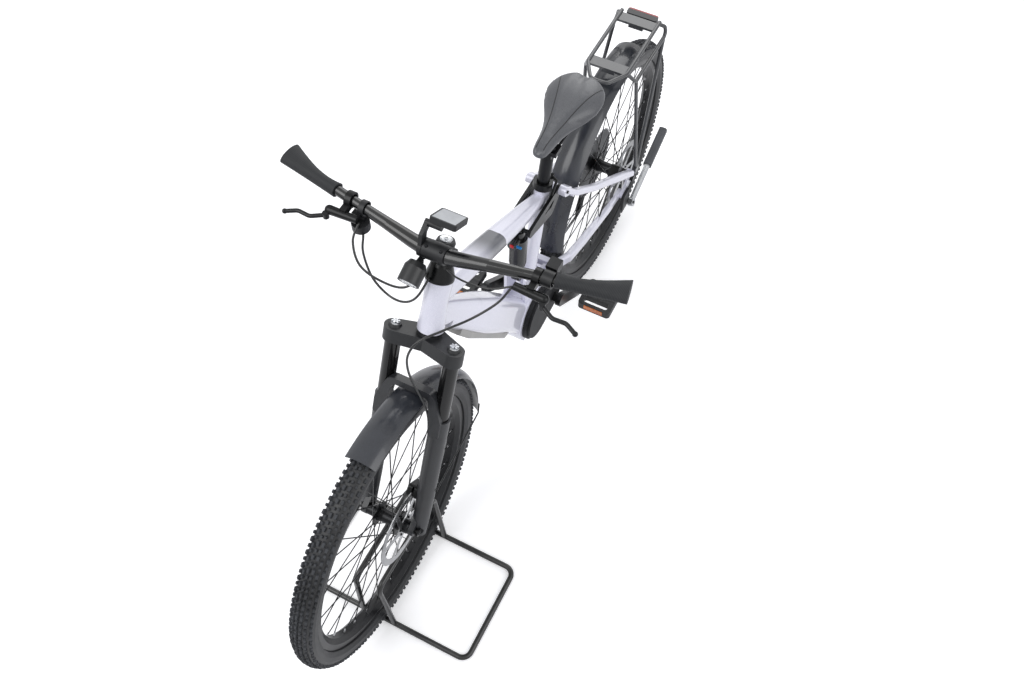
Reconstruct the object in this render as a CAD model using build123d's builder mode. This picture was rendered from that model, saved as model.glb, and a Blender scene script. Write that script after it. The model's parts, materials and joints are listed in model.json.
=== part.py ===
from build123d import *
import os
from math import acos, asin, atan2, cos, degrees, hypot, pi, radians, sin, sqrt, tan

# Full-suspension electric mountain bike standing upright in a tubular display stand
# X points forward, Y to the rider's left, Z up, and the floor is at Z = 0

os.makedirs("parts", exist_ok=True)

# Wheels and stance
WHEELBASE = 1200
TYRE_RADIUS = 368
TYRE_WIDTH = 60
TYRE_WALL = 3.5
TREAD_DEPTH = 9
BEAD_RADIUS = 311
RIM_WIDTH = 36
RIM_DEPTH = 24
RIM_LIP = 9
SPOKE_COUNT = 32
SPOKE_WIDTH = 2
SPOKE_CROSSING = 67.5
FLANGE_RADIUS = 30
FLANGE_THICKNESS = 3
FRONT_HUB_HALF = 54.5
REAR_HUB_HALF = 71
FRONT_FLANGE_Y = 27
REAR_FLANGE_LEFT_Y = 34
REAR_FLANGE_RIGHT_Y = -20
HUB_BARREL = 16
FRONT_AXLE_RADIUS = 7.5
REAR_AXLE_RADIUS = 6
RUNNING_GAP = 0.3
ROTOR_RADIUS = 101.5
ROTOR_THICKNESS = 2
ROTOR_TRACK = 17
FRONT_ROTOR_Y = 40
REAR_ROTOR_Y = 55

# Steering and fork
HEAD_ANGLE = 65
FORK_OFFSET = 44
AXLE_TO_CROWN = 519
LEG_OFFSET = 24
LEG_Y = 69
STANCHION_RADIUS = 17.5
LOWER_RADIUS = 22
SEAL_HEIGHT = -188
CROWN_TOP = -7
CROWN_DEPTH = 32
ARCH_UNDER = -134
ARCH_THICKNESS = 15
STEERER_RADIUS = 14.3
HEAD_TUBE_LENGTH = 128
HEAD_TUBE_RADIUS = 29
HEAD_TUBE_WAIST = 26
HEAD_BORE = 22
COVER_HEIGHT = 34
STEM_BASE = 170
STEM_HEIGHT = 40
STEM_REACH = 38
STEM_RISE = 206
STEER_LIMIT = 60

# Handlebar and controls
BAR_WIDTH = 744
BAR_CLAMP_RADIUS = 15.9
BAR_GRIP_RADIUS = 11.1
BAR_TUCK = 4
BAR_RISE = 25
BAR_SWEEP = 56
GRIP_LENGTH = 134
LEVER_CLAMP_Y = 205

# Frame
BB_X = -152
BB_HEIGHT = 335
SEAT_ANGLE = 74.5
SEAT_TOP_X = -188
SEAT_TOP_Z = 732
SEAT_TUBE_RADIUS = 19
SEATPOST_RADIUS = 15.45
SEATPOST_FIT = 0.15
ROCKER_REAR_X = -212
ROCKER_REAR_Z = 698
ROCKER_FRONT_X = -62
ROCKER_FRONT_Z = 697
SHOCK_LOW_X = -50
SHOCK_LOW_Z = 520
HORST_X = -556
HORST_Z = 338
MAIN_PIVOT_X = -172
MAIN_PIVOT_Z = 412
DROPOUT_Y = 74.3
DROPOUT_THICKNESS = 8
ROCKER_Y = 26
ROCKER_THICKNESS = 8
MOTOR_HALF_WIDTH = 58
CRANK_LENGTH = 170
CRANK_ANGLE = 223
CHAIN_LINE = 50
PEDAL_Y = 144
PEDAL_LENGTH = 96
PEDAL_WIDTH = 92
PEDAL_HEIGHT = 24

# Drive train
CHAIN_PITCH = 12.7
RING_TEETH = 36
COG_TEETH = [51, 45, 39, 33, 28, 24, 21, 18, 15, 13, 11]
DRIVEN_COG = 5
COG_SPACING = 3.7
COG_THICKNESS = 1.6
PULLEY_TEETH = 12
CHAIN_HALF_WIDTH = 2.6
CHAIN_PLATE = 1.1
CHAIN_HEIGHT = 8.4
ROLLER_RADIUS = 3.4
TOOTH_GAP = 0.8

# Saddle, rack, mudguards and kickstand
SADDLE_LENGTH = 262
SADDLE_WIDTH = 152
SADDLE_TOP = 893
SADDLE_REAR_X = -412
GUARD_RADIUS = 381
GUARD_THICKNESS = 2.5
GUARD_SAG = 14
FRONT_GUARD_WIDTH = 72
REAR_GUARD_WIDTH = 76
FRONT_GUARD_FROM = 84
FRONT_GUARD_TO = 189
REAR_GUARD_FROM = 8
REAR_GUARD_TO = 108
RACK_TUBE = 5
RACK_HEIGHT = 792
RACK_HALF_WIDTH = 53
RACK_FRONT_X = -545
RACK_REAR_X = -757
RACK_NOSE_X = -494
RAIL_HEIGHT = 752
RAIL_HALF_WIDTH = 70
KICK_PIVOT_X = -578
KICK_PIVOT_Y = 99
KICK_PIVOT_Z = 292
KICK_LENGTH = 262
KICK_TILT = 14
KICK_FOLDED = -11
KICK_SWING = 109

# Display stand
STAND_TUBE = 7
STAND_HALF_LENGTH = 131
STAND_LEFT_Y = 256
STAND_RIGHT_Y = -205
STAND_LOOP_FOOT_Y = 47
STAND_LOOP_TOP_Y = 31
STAND_LOOP_HEIGHT = 245
STAND_CORNER = 24

# Places worked out from the sizes above
FRONT_X = WHEELBASE / 2
REAR_X = -WHEELBASE / 2
AXLE_Z = TYRE_RADIUS
HEAD_SIN = sin(radians(HEAD_ANGLE))
HEAD_COS = cos(radians(HEAD_ANGLE))
CROWN_X = FRONT_X - FORK_OFFSET * HEAD_SIN - AXLE_TO_CROWN * HEAD_COS
CROWN_Z = AXLE_Z - FORK_OFFSET * HEAD_COS + AXLE_TO_CROWN * HEAD_SIN
STEER = Plane(origin=(CROWN_X, 0, CROWN_Z), x_dir=(HEAD_SIN, 0, HEAD_COS), z_dir=(-HEAD_COS, 0, HEAD_SIN))
COG_Y = [-CHAIN_LINE + (DRIVEN_COG - i) * COG_SPACING for i in range(len(COG_TEETH))]


def steer_point(ahead, left, height):
    """A place given ahead of, left of and up along the steering axis."""
    return Vector(
        CROWN_X + ahead * HEAD_SIN - height * HEAD_COS,
        left,
        CROWN_Z + ahead * HEAD_COS + height * HEAD_SIN,
    )


def side(y):
    """A drawing plane seen from the right: across is X, up is Z, and it extrudes to the right."""
    return Plane(origin=(0, y, 0), x_dir=(1, 0, 0), z_dir=(0, -1, 0))


def wheel_plane(x):
    """The half plane of a wheel's turned profile: across is Y, up is the radius."""
    return Plane(origin=(x, 0, AXLE_Z), x_dir=(0, 1, 0), z_dir=(1, 0, 0))


def wheel_axis(x):
    """The line that a wheel turns about."""
    return Axis((x, 0, AXLE_Z), (0, 1, 0))


def strut(start, end, start_radius, end_radius=None):
    """A round bar between two points, tapered where two radii are given."""
    span = Vector(*end) - Vector(*start)
    foot = Plane(origin=start, z_dir=span)
    with BuildPart() as bar:
        with BuildSketch(foot):
            Circle(start_radius)
        if end_radius is None:
            extrude(amount=span.length)
        else:
            with BuildSketch(foot.offset(span.length)):
                Circle(end_radius)
            loft()
    return bar.part


def bent_tube(points, radius, bends):
    """A round tube along straight runs joined by arcs, one bend radius for each corner."""
    with BuildPart() as tube:
        with BuildLine():
            route = FilletPolyline(*points, radius=bends)
        with BuildSketch(Plane(origin=route @ 0, z_dir=route % 0)):
            Circle(radius)
        sweep(path=route)
    return tube.part


def formed_tube(stations):
    """A straight formed tube through rounded sections: centre, width, height and corner radius."""
    span = Vector(*stations[-1][0]) - Vector(*stations[0][0])
    with BuildPart() as tube:
        for centre, width, height, corner in stations:
            with BuildSketch(Plane(origin=centre, x_dir=(0, 1, 0), z_dir=span)):
                RectangleRounded(width, height, corner)
        loft()
    return tube.part


def link_plate(circles, y, thickness):
    """A flat plate whose outline wraps circles of (x, z, radius), from y towards the right."""
    with BuildPart() as plate:
        with BuildSketch(side(y)):
            for first, second in zip(circles, circles[1:]):
                with BuildSketch(mode=Mode.PRIVATE) as pair:
                    for x, z, radius in (first, second):
                        with Locations((x, z)):
                            Circle(radius)
                    make_hull()
                add(pair.sketch)
        extrude(amount=thickness)
    return plate.part


def pin(x, z, y_from, y_to, radius):
    """A crosswise pin between two sideways places."""
    return strut((x, y_from, z), (x, y_to, z), radius)


def toothed_disc(teeth, clearance):
    """The flat outline of a sprocket whose first valley points along +X."""
    pitch_radius = teeth * CHAIN_PITCH / (2 * pi)
    root = pitch_radius - ROLLER_RADIUS - clearance
    tip = pitch_radius + 2.6
    step = 2 * pi / teeth
    outline = []
    for i in range(teeth):
        angle = i * step
        for share, radius in ((-0.155, root), (0.155, root), (0.435, tip), (0.565, tip)):
            outline.append((radius * cos(angle + share * step), radius * sin(angle + share * step)))
    with BuildSketch() as disc:
        Polygon(*outline, align=None)
    return disc.sketch


# Tyres: hollow carcasses from bead to bead, out to the tips of the tread
def tyre(x):
    half = TYRE_WIDTH / 2
    bead_y = RIM_WIDTH / 2 - 4
    bead_top = BEAD_RADIUS + RIM_LIP + 1
    inner_y = bead_y - TYRE_WALL
    wide_radius = (BEAD_RADIUS + TYRE_RADIUS) / 2 + 4
    shoulder = (half * 0.86, TYRE_RADIUS - 9)
    with BuildPart() as body:
        with BuildSketch(wheel_plane(x)):
            with BuildLine():
                Line((bead_y, BEAD_RADIUS), (bead_y, bead_top))
                ThreePointArc((bead_y, bead_top), (half, wide_radius), shoulder)
                ThreePointArc(shoulder, (0, TYRE_RADIUS), (-shoulder[0], shoulder[1]))
                ThreePointArc((-shoulder[0], shoulder[1]), (-half, wide_radius), (-bead_y, bead_top))
                Line((-bead_y, bead_top), (-bead_y, BEAD_RADIUS))
                Line((-bead_y, BEAD_RADIUS), (-inner_y, BEAD_RADIUS))
                Line((-inner_y, BEAD_RADIUS), (-inner_y, bead_top + 2))
                ThreePointArc((-inner_y, bead_top + 2), (0, TYRE_RADIUS - TREAD_DEPTH), (inner_y, bead_top + 2))
                Line((inner_y, bead_top + 2), (inner_y, BEAD_RADIUS))
                Line((inner_y, BEAD_RADIUS), (bead_y, BEAD_RADIUS))
            make_face()
        revolve(axis=wheel_axis(x))
    return body.part


def rim(x):
    outer = RIM_WIDTH / 2
    inner = outer - 3.5
    lip = BEAD_RADIUS + RIM_LIP
    bed = BEAD_RADIUS - RUNNING_GAP
    with BuildPart() as body:
        with BuildSketch(wheel_plane(x)):
            with BuildLine():
                Polyline(
                    (inner, bed),
                    (inner, lip),
                    (outer, lip),
                    (outer, bed - 5),
                    (outer * 0.5, bed - RIM_DEPTH + 8),
                    (-outer * 0.5, bed - RIM_DEPTH + 8),
                    (-outer, bed - 5),
                    (-outer, lip),
                    (-inner, lip),
                    (-inner, bed),
                    close=True,
                )
            make_face()
        revolve(axis=wheel_axis(x))
    return body.part


RIM_INNER = BEAD_RADIUS - RUNNING_GAP - RIM_DEPTH + 8


def wheel_spot(x, y, radius, angle):
    """A place on a wheel from its radius and its angle up from +X."""
    return Vector(x + radius * cos(radians(angle)), y, AXLE_Z + radius * sin(radians(angle)))


def spoke(x, flange_y, index):
    """One straight spoke from its flange hole to the rim, leaning forwards or back in turn."""
    lean = 1 if (index // 2) % 2 else -1
    rim_angle = index * 360 / SPOKE_COUNT
    foot = wheel_spot(x, flange_y + 1.3 * lean, FLANGE_RADIUS - 3, rim_angle + SPOKE_CROSSING * lean)
    tip = wheel_spot(x, flange_y * 0.06, RIM_INNER - RUNNING_GAP, rim_angle)
    with BuildPart() as wire:
        with BuildSketch(Plane(origin=foot, x_dir=(0, 1, 0), z_dir=tip - foot)):
            Rectangle(SPOKE_WIDTH, SPOKE_WIDTH)
        extrude(amount=(tip - foot).length)
    return wire.part


def spoked_hub(x, left_y, right_y, half_length, bore, barrel_end):
    """A turned hub with a bore for its axle and crossed spokes out to the rim."""
    lap = FLANGE_THICKNESS / 2
    with BuildPart() as hub:
        with BuildSketch(wheel_plane(x)):
            with BuildLine():
                Polyline(
                    (-half_length, bore),
                    (-half_length, barrel_end),
                    (right_y - 8, barrel_end),
                    (right_y - lap, HUB_BARREL + 4),
                    (right_y - lap, FLANGE_RADIUS),
                    (right_y + lap, FLANGE_RADIUS),
                    (right_y + lap, HUB_BARREL + 2),
                    (right_y + 14, HUB_BARREL),
                    (left_y - 14, HUB_BARREL),
                    (left_y - lap, HUB_BARREL + 2),
                    (left_y - lap, FLANGE_RADIUS),
                    (left_y + lap, FLANGE_RADIUS),
                    (left_y + lap, HUB_BARREL + 2),
                    (left_y + lap + 3, HUB_BARREL),
                    (half_length - 4, HUB_BARREL),
                    (half_length, HUB_BARREL - 2),
                    (half_length, bore),
                    close=True,
                )
            make_face()
        revolve(axis=wheel_axis(x))
        add([spoke(x, left_y if index % 2 else right_y, index) for index in range(SPOKE_COUNT)])
    return hub.part


def rotor(x, y):
    """A brake disc: a braking ring, curved arms and a centre carrier."""
    inner = ROTOR_RADIUS - ROTOR_TRACK
    carrier = HUB_BARREL + 12
    with BuildPart() as disc:
        with BuildSketch(side(y + ROTOR_THICKNESS / 2)):
            with Locations((x, AXLE_Z)):
                Circle(ROTOR_RADIUS)
                Circle(inner, mode=Mode.SUBTRACT)
                Circle(carrier)
                with PolarLocations(0, 6):
                    with BuildLine(mode=Mode.PRIVATE) as edge:
                        Polyline((carrier - 2, -7), (inner + 2, 24), (inner + 2, 36), (carrier - 2, 9), close=True)
                    add(make_face(edge.line, mode=Mode.PRIVATE))
                Circle(HUB_BARREL + RUNNING_GAP, mode=Mode.SUBTRACT)
        extrude(amount=ROTOR_THICKNESS)
    return disc.part


with BuildPart() as front_tyre:
    add(tyre(FRONT_X))
front_tyre.part.label = "front_tyre"
export_step(front_tyre.part, "parts/front_tyre.step")

with BuildPart() as rear_tyre:
    add(tyre(REAR_X))
rear_tyre.part.label = "rear_tyre"
export_step(rear_tyre.part, "parts/rear_tyre.step")

with BuildPart() as front_rim:
    add(rim(FRONT_X))
front_rim.part.label = "front_rim"
export_step(front_rim.part, "parts/front_rim.step")

with BuildPart() as rear_rim:
    add(rim(REAR_X))
rear_rim.part.label = "rear_rim"
export_step(rear_rim.part, "parts/rear_rim.step")

with BuildPart() as front_hub:
    add(spoked_hub(FRONT_X, FRONT_FLANGE_Y, -FRONT_FLANGE_Y, FRONT_HUB_HALF, FRONT_AXLE_RADIUS + RUNNING_GAP, 14))
front_hub.part.label = "front_hub"
export_step(front_hub.part, "parts/front_hub.step")

with BuildPart() as rear_hub:
    add(
        spoked_hub(
            REAR_X, REAR_FLANGE_LEFT_Y, REAR_FLANGE_RIGHT_Y, REAR_HUB_HALF, REAR_AXLE_RADIUS + RUNNING_GAP, HUB_BARREL
        )
    )
rear_hub.part.label = "rear_hub"
export_step(rear_hub.part, "parts/rear_hub.step")

with BuildPart() as front_rotor:
    add(rotor(FRONT_X, FRONT_ROTOR_Y))
front_rotor.part.label = "front_rotor"
export_step(front_rotor.part, "parts/front_rotor.step")

with BuildPart() as rear_rotor:
    add(rotor(REAR_X, REAR_ROTOR_Y))
rear_rotor.part.label = "rear_rotor"
export_step(rear_rotor.part, "parts/rear_rotor.step")

# Fork: steerer, crown and stanchions in one, and the cast lowers with their arch
with BuildPart() as fork_crown:
    with BuildSketch(STEER.offset(CROWN_TOP - CROWN_DEPTH)):
        with BuildSketch(mode=Mode.PRIVATE) as half_crown:
            Circle(STEERER_RADIUS + 15)
            with Locations((LEG_OFFSET, LEG_Y)):
                Circle(STANCHION_RADIUS + 6)
            make_hull()
        add(half_crown.sketch)
        mirror(half_crown.sketch, about=Plane.XZ)
    extrude(amount=CROWN_DEPTH)
    with BuildSketch(STEER.offset(CROWN_TOP)):
        Circle(STEERER_RADIUS + 13)
    extrude(amount=-CROWN_TOP - 1)
    with BuildSketch(STEER.offset(CROWN_TOP - CROWN_DEPTH)):
        Circle(STEERER_RADIUS)
    extrude(amount=STEM_BASE + STEM_HEIGHT - CROWN_TOP + CROWN_DEPTH - 3)
    for leg_y in (LEG_Y, -LEG_Y):
        with BuildSketch(STEER.offset(SEAL_HEIGHT - 40)):
            with Locations((LEG_OFFSET, leg_y)):
                Circle(STANCHION_RADIUS)
        extrude(amount=CROWN_TOP - SEAL_HEIGHT + 40)
        with BuildSketch(STEER.offset(CROWN_TOP)):
            with Locations((LEG_OFFSET, leg_y)):
                Circle(STANCHION_RADIUS - 3)
        extrude(amount=6, taper=20)
fork_crown.part.label = "fork_crown"
export_step(fork_crown.part, "parts/fork_crown.step")

LEG_FOOT = -AXLE_TO_CROWN - 16
DROPOUT_INNER = FRONT_HUB_HALF + 1
with BuildPart() as fork_lowers:
    for leg_y in (LEG_Y, -LEG_Y):
        inward = -1 if leg_y > 0 else 1
        with BuildSketch(STEER.offset(LEG_FOOT)):
            with Locations((LEG_OFFSET, leg_y)):
                Circle(LOWER_RADIUS - 4)
        with BuildSketch(STEER.offset(LEG_FOOT + 120)):
            with Locations((LEG_OFFSET, leg_y)):
                Circle(LOWER_RADIUS - 1)
        loft()
        with BuildSketch(STEER.offset(LEG_FOOT + 120)):
            with Locations((LEG_OFFSET, leg_y)):
                Circle(LOWER_RADIUS - 1)
        with BuildSketch(STEER.offset(SEAL_HEIGHT)):
            with Locations((LEG_OFFSET, leg_y)):
                Circle(LOWER_RADIUS)
        loft()
        with BuildSketch(Plane(origin=steer_point(0, leg_y, 0), x_dir=STEER.x_dir, z_dir=(0, inward, 0))):
            with BuildSketch(mode=Mode.PRIVATE) as lug:
                with Locations((FORK_OFFSET, inward * AXLE_TO_CROWN)):
                    Circle(15)
                with Locations((LEG_OFFSET, inward * (AXLE_TO_CROWN - 34))):
                    Circle(12)
                make_hull()
            add(lug.sketch)
        extrude(amount=LEG_Y - DROPOUT_INNER)
    with BuildSketch(Plane(origin=steer_point(LEG_OFFSET + 4, 0, 0), x_dir=(0, 1, 0), z_dir=STEER.x_dir)):
        with BuildLine():
            FilletPolyline(
                (LEG_Y + 12, SEAL_HEIGHT - 40),
                (LEG_Y + 12, SEAL_HEIGHT + 2),
                (LEG_Y - 14, ARCH_UNDER + ARCH_THICKNESS),
                (14 - LEG_Y, ARCH_UNDER + ARCH_THICKNESS),
                (-LEG_Y - 12, SEAL_HEIGHT + 2),
                (-LEG_Y - 12, SEAL_HEIGHT - 40),
                (-LEG_Y + 12, SEAL_HEIGHT - 40),
                (-LEG_Y + 17, SEAL_HEIGHT - 8),
                (25 - LEG_Y, ARCH_UNDER),
                (LEG_Y - 25, ARCH_UNDER),
                (LEG_Y - 17, SEAL_HEIGHT - 8),
                (LEG_Y - 12, SEAL_HEIGHT - 40),
                radius=[6, 14, 22, 22, 14, 6, 6, 10, 12, 12, 10, 6],
                close=True,
            )
        make_face()
    extrude(amount=22)
    with BuildSketch(STEER.offset(SEAL_HEIGHT - 45)):
        with Locations((LEG_OFFSET, LEG_Y), (LEG_OFFSET, -LEG_Y)):
            Circle(STANCHION_RADIUS + RUNNING_GAP)
    extrude(amount=45 + ARCH_UNDER + ARCH_THICKNESS - SEAL_HEIGHT + 10, mode=Mode.SUBTRACT)
    add(pin(FRONT_X, AXLE_Z, -LEG_Y - 40, LEG_Y + 40, FRONT_AXLE_RADIUS + RUNNING_GAP / 2), mode=Mode.SUBTRACT)
    add(pin(FRONT_X, AXLE_Z, LEG_Y + 6, LEG_Y + 40, FRONT_AXLE_RADIUS + 3.3), mode=Mode.SUBTRACT)
    add(pin(FRONT_X, AXLE_Z, -DROPOUT_INNER, DROPOUT_INNER, HUB_BARREL + 3), mode=Mode.SUBTRACT)
fork_lowers.part.label = "fork_lowers"
export_step(fork_lowers.part, "parts/fork_lowers.step")

with BuildPart() as front_axle:
    add(pin(FRONT_X, AXLE_Z, -LEG_Y - 6, LEG_Y + 6, FRONT_AXLE_RADIUS))
    add(pin(FRONT_X, AXLE_Z, LEG_Y + 6, LEG_Y + 11, FRONT_AXLE_RADIUS + 3))
front_axle.part.label = "front_axle"
export_step(front_axle.part, "parts/front_axle.step")

# Headset: the bearing rings in the head tube's bore and the funnel cover under the stem
with BuildPart() as headset:
    with BuildSketch(Plane(origin=(CROWN_X, 0, CROWN_Z), x_dir=STEER.x_dir, z_dir=(0, -1, 0))):
        with BuildLine():
            Polyline(
                (STEERER_RADIUS + RUNNING_GAP, HEAD_TUBE_LENGTH - 12),
                (HEAD_BORE - RUNNING_GAP, HEAD_TUBE_LENGTH - 12),
                (HEAD_BORE - RUNNING_GAP, HEAD_TUBE_LENGTH + 0.5),
                (HEAD_TUBE_RADIUS + 1.5, HEAD_TUBE_LENGTH + 0.5),
                (HEAD_TUBE_RADIUS + 1.5, HEAD_TUBE_LENGTH + 6),
                (HEAD_TUBE_RADIUS - 6, HEAD_TUBE_LENGTH + COVER_HEIGHT),
                (STEERER_RADIUS + 4, STEM_BASE - RUNNING_GAP),
                (STEERER_RADIUS + RUNNING_GAP, STEM_BASE - RUNNING_GAP),
                close=True,
            )
        make_face()
        with BuildLine():
            Polyline(
                (STEERER_RADIUS + RUNNING_GAP, -0.7),
                (HEAD_TUBE_RADIUS - 1, -0.7),
                (HEAD_TUBE_RADIUS - 1, 3.7),
                (HEAD_BORE - RUNNING_GAP, 3.7),
                (HEAD_BORE - RUNNING_GAP, 16),
                (STEERER_RADIUS + RUNNING_GAP, 16),
                close=True,
            )
        make_face()
    revolve(axis=Axis((CROWN_X, 0, CROWN_Z), STEER.z_dir))
headset.part.label = "headset"
export_step(headset.part, "parts/headset.step")

BAR_CENTRE = steer_point(STEM_REACH, 0, STEM_RISE)
STEM_MIDDLE = STEM_BASE + STEM_HEIGHT / 2
with BuildPart() as stem:
    with BuildSketch(STEER.offset(STEM_BASE)):
        Circle(STEERER_RADIUS + 5)
    extrude(amount=STEM_HEIGHT)
    clamp_plane = Plane(origin=steer_point(0, 24, 0), x_dir=STEER.x_dir, z_dir=(0, -1, 0))
    with BuildSketch(clamp_plane):
        with BuildSketch(mode=Mode.PRIVATE) as neck:
            with Locations((2, STEM_MIDDLE)):
                Circle(15)
            with Locations((STEM_REACH, STEM_RISE)):
                Circle(BAR_CLAMP_RADIUS + 4)
            make_hull()
        add(neck.sketch)
    extrude(amount=48)
    with BuildSketch(STEER.offset(STEM_BASE - 1)):
        Circle(STEERER_RADIUS + RUNNING_GAP)
    extrude(amount=STEM_HEIGHT + 2, mode=Mode.SUBTRACT)
    with BuildSketch(clamp_plane):
        with Locations((STEM_REACH, STEM_RISE)):
            Circle(BAR_CLAMP_RADIUS + RUNNING_GAP / 2)
    extrude(amount=48, mode=Mode.SUBTRACT)
    with BuildSketch(STEER.offset(STEM_BASE + STEM_HEIGHT)):
        Circle(STEERER_RADIUS + 6)
    extrude(amount=7, taper=20)
stem.part.label = "stem"
export_step(stem.part, "parts/stem.step")

# Handlebar: a clamped middle, tapered bends up and back, and slim grip ends
BAR_END_Y = BAR_WIDTH / 2


def bar_point(y):
    """The middle of the bar at a sideways place on its outer, straight stretch."""
    share = (abs(y) - 110) / (BAR_END_Y - 110)
    start = Vector(BAR_CENTRE.X - 8, y, BAR_CENTRE.Z + 14)
    end = Vector(BAR_CENTRE.X - BAR_SWEEP, y, BAR_CENTRE.Z + BAR_RISE)
    return start + (end - start) * share


with BuildPart() as handlebar:
    add(pin(BAR_CENTRE.X, BAR_CENTRE.Z, -31, 31, BAR_CLAMP_RADIUS))
    for sign in (1, -1):
        bar_sections = [
            (Vector(BAR_CENTRE.X, sign * 31, BAR_CENTRE.Z), BAR_CLAMP_RADIUS),
            (Vector(BAR_CENTRE.X - 2, sign * 56, BAR_CENTRE.Z + 4), BAR_CLAMP_RADIUS - 0.6),
            (bar_point(sign * 110), 13),
            (bar_point(sign * 180), BAR_GRIP_RADIUS),
            (bar_point(sign * (BAR_END_Y - BAR_TUCK)), BAR_GRIP_RADIUS),
        ]
        for pair in zip(bar_sections, bar_sections[1:]):
            for centre, radius in pair:
                with BuildSketch(Plane(origin=centre, x_dir=(1, 0, 0), z_dir=(0, sign, 0))):
                    Circle(radius)
            loft()
handlebar.part.label = "handlebar"
export_step(handlebar.part, "parts/handlebar.step")

# Grips: a locking collar, a waisted hand section and a palm wing that flares at the end
with BuildPart() as grips:
    for sign in (1, -1):
        outer = BAR_END_Y + 2
        inner = outer - GRIP_LENGTH
        along = bar_point(sign * outer) - bar_point(sign * inner)
        for share, back, up in ((0, 15.5, 15.5), (0.45, 15, 15.5), (0.8, 22, 15), (1, 27, 14)):
            place = bar_point(sign * (inner + share * GRIP_LENGTH)) - Vector(1, 0, 0) * (back - 15.5) * 0.8
            with BuildSketch(Plane(origin=place, x_dir=(1, 0, 0), z_dir=along)):
                Ellipse(back, up)
        loft()
    for sign in (1, -1):
        add(
            strut(
                bar_point(sign * (BAR_END_Y + 2 - GRIP_LENGTH - 1)),
                bar_point(sign * BAR_END_Y),
                BAR_GRIP_RADIUS + RUNNING_GAP / 2,
            ),
            mode=Mode.SUBTRACT,
        )
grips.part.label = "grips"
export_step(grips.part, "parts/grips.step")


def lever_pivot(sign):
    """Where a brake lever is pinned in its master's fork."""
    return bar_point(sign * LEVER_CLAMP_Y) + Vector(46, sign * 32, -16)


# Brake masters: clamp, slim cylinder and reservoir, mirrored left and right
with BuildPart() as brake_masters:
    for sign in (1, -1):
        here = bar_point(sign * LEVER_CLAMP_Y)
        with BuildSketch(side(here.Y + 7)):
            with Locations((here.X, here.Z)):
                Circle(BAR_GRIP_RADIUS + 6)
            with Locations((here.X + 20, here.Z - 6)):
                Rectangle(26, 14)
            with Locations((here.X, here.Z)):
                Circle(BAR_GRIP_RADIUS + 1.8, mode=Mode.SUBTRACT)
        extrude(amount=14)
        body_in = here + Vector(33, -sign * 34, -10)
        body_out = here + Vector(34, sign * 30, -12)
        add(strut(body_in, body_out, 8, 10))
        with Locations(body_out):
            Sphere(10)
        with Locations(lever_pivot(sign)):
            Cylinder(6.8, 14.6, mode=Mode.SUBTRACT)
brake_masters.part.label = "brake_masters"
export_step(brake_masters.part, "parts/brake_masters.step")

with BuildPart() as brake_levers:
    for sign in (1, -1):
        here = bar_point(sign * LEVER_CLAMP_Y)
        pivot = lever_pivot(sign)
        route = [
            pivot,
            here + Vector(62, sign * 60, -18),
            here + Vector(60, sign * 88, -18),
            here + Vector(72, sign * 112, -20),
        ]
        add(bent_tube(route, 4.5, [18, 18]))
        with Locations(route[-1]):
            Sphere(5.5)
        add(strut(pivot - Vector(0, 0, 7), pivot + Vector(0, 0, 7), 6.5))
brake_levers.part.label = "brake_levers"
export_step(brake_levers.part, "parts/brake_levers.step")

# Gear shifter under the right side and the assist remote beside the left grip
with BuildPart() as bar_controls:
    shift = bar_point(-LEVER_CLAMP_Y + 34)
    with BuildSketch(side(shift.Y + 6)):
        with Locations((shift.X, shift.Z)):
            Circle(BAR_GRIP_RADIUS + 5)
            Circle(BAR_GRIP_RADIUS + 2.2, mode=Mode.SUBTRACT)
    extrude(amount=12)
    with Locations(shift + Vector(17, -2, -33)):
        Cylinder(19, 20)
    with Locations(shift + Vector(10, 0, -20)):
        Box(14, 10, 14)
    with Locations(shift + Vector(-12, -20, -30)):
        Box(34, 22, 6)
    remote = bar_point(BAR_END_Y + 2 - GRIP_LENGTH - 14)
    with BuildSketch(side(remote.Y + 11)):
        with Locations((remote.X, remote.Z)):
            Circle(BAR_GRIP_RADIUS + 6)
            Circle(BAR_GRIP_RADIUS + 2.6, mode=Mode.SUBTRACT)
    extrude(amount=22)
    with Locations(remote + Vector(-27, -2, 6)):
        Box(26, 24, 20)
bar_controls.part.label = "bar_controls"
export_step(bar_controls.part, "parts/bar_controls.step")

# Display on a curved arm that is clamped to the bar at the right of the stem
DISPLAY = Plane(origin=(246, 8, 1078), x_dir=(0, 1, 0), z_dir=(-0.5, 0, 0.866))
with BuildPart() as display:
    with BuildSketch(DISPLAY.offset(-6)):
        RectangleRounded(58, 56, 5)
    extrude(amount=12)
    with BuildSketch(DISPLAY.offset(-11)):
        RectangleRounded(44, 34, 4)
    extrude(amount=5)
    with BuildSketch(side(-25)):
        with Locations((BAR_CENTRE.X, BAR_CENTRE.Z)):
            Circle(BAR_CLAMP_RADIUS + 4)
        with BuildLine():
            Polyline(
                (BAR_CENTRE.X - 8, BAR_CENTRE.Z + 14),
                (BAR_CENTRE.X + 14, BAR_CENTRE.Z + 10),
                (BAR_CENTRE.X + 4, BAR_CENTRE.Z + 40),
                (BAR_CENTRE.X - 26, BAR_CENTRE.Z + 56),
                (BAR_CENTRE.X - 34, BAR_CENTRE.Z + 42),
                (BAR_CENTRE.X - 14, BAR_CENTRE.Z + 32),
                close=True,
            )
        make_face()
        with Locations((BAR_CENTRE.X, BAR_CENTRE.Z)):
            Circle(BAR_CLAMP_RADIUS + RUNNING_GAP, mode=Mode.SUBTRACT)
    extrude(amount=8)
    arm_top = Vector(BAR_CENTRE.X - 24, 0, BAR_CENTRE.Z + 48)
    add(pin(arm_top.X, arm_top.Z, -33, 4, 7))
    with BuildSketch(Plane(origin=(arm_top.X, -4, arm_top.Z), x_dir=(0, 1, 0), z_dir=(-0.866, 0, 0.1))):
        Rectangle(16, 7)
    extrude(amount=16)
display.part.label = "display"
export_step(display.part, "parts/display.step")

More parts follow.
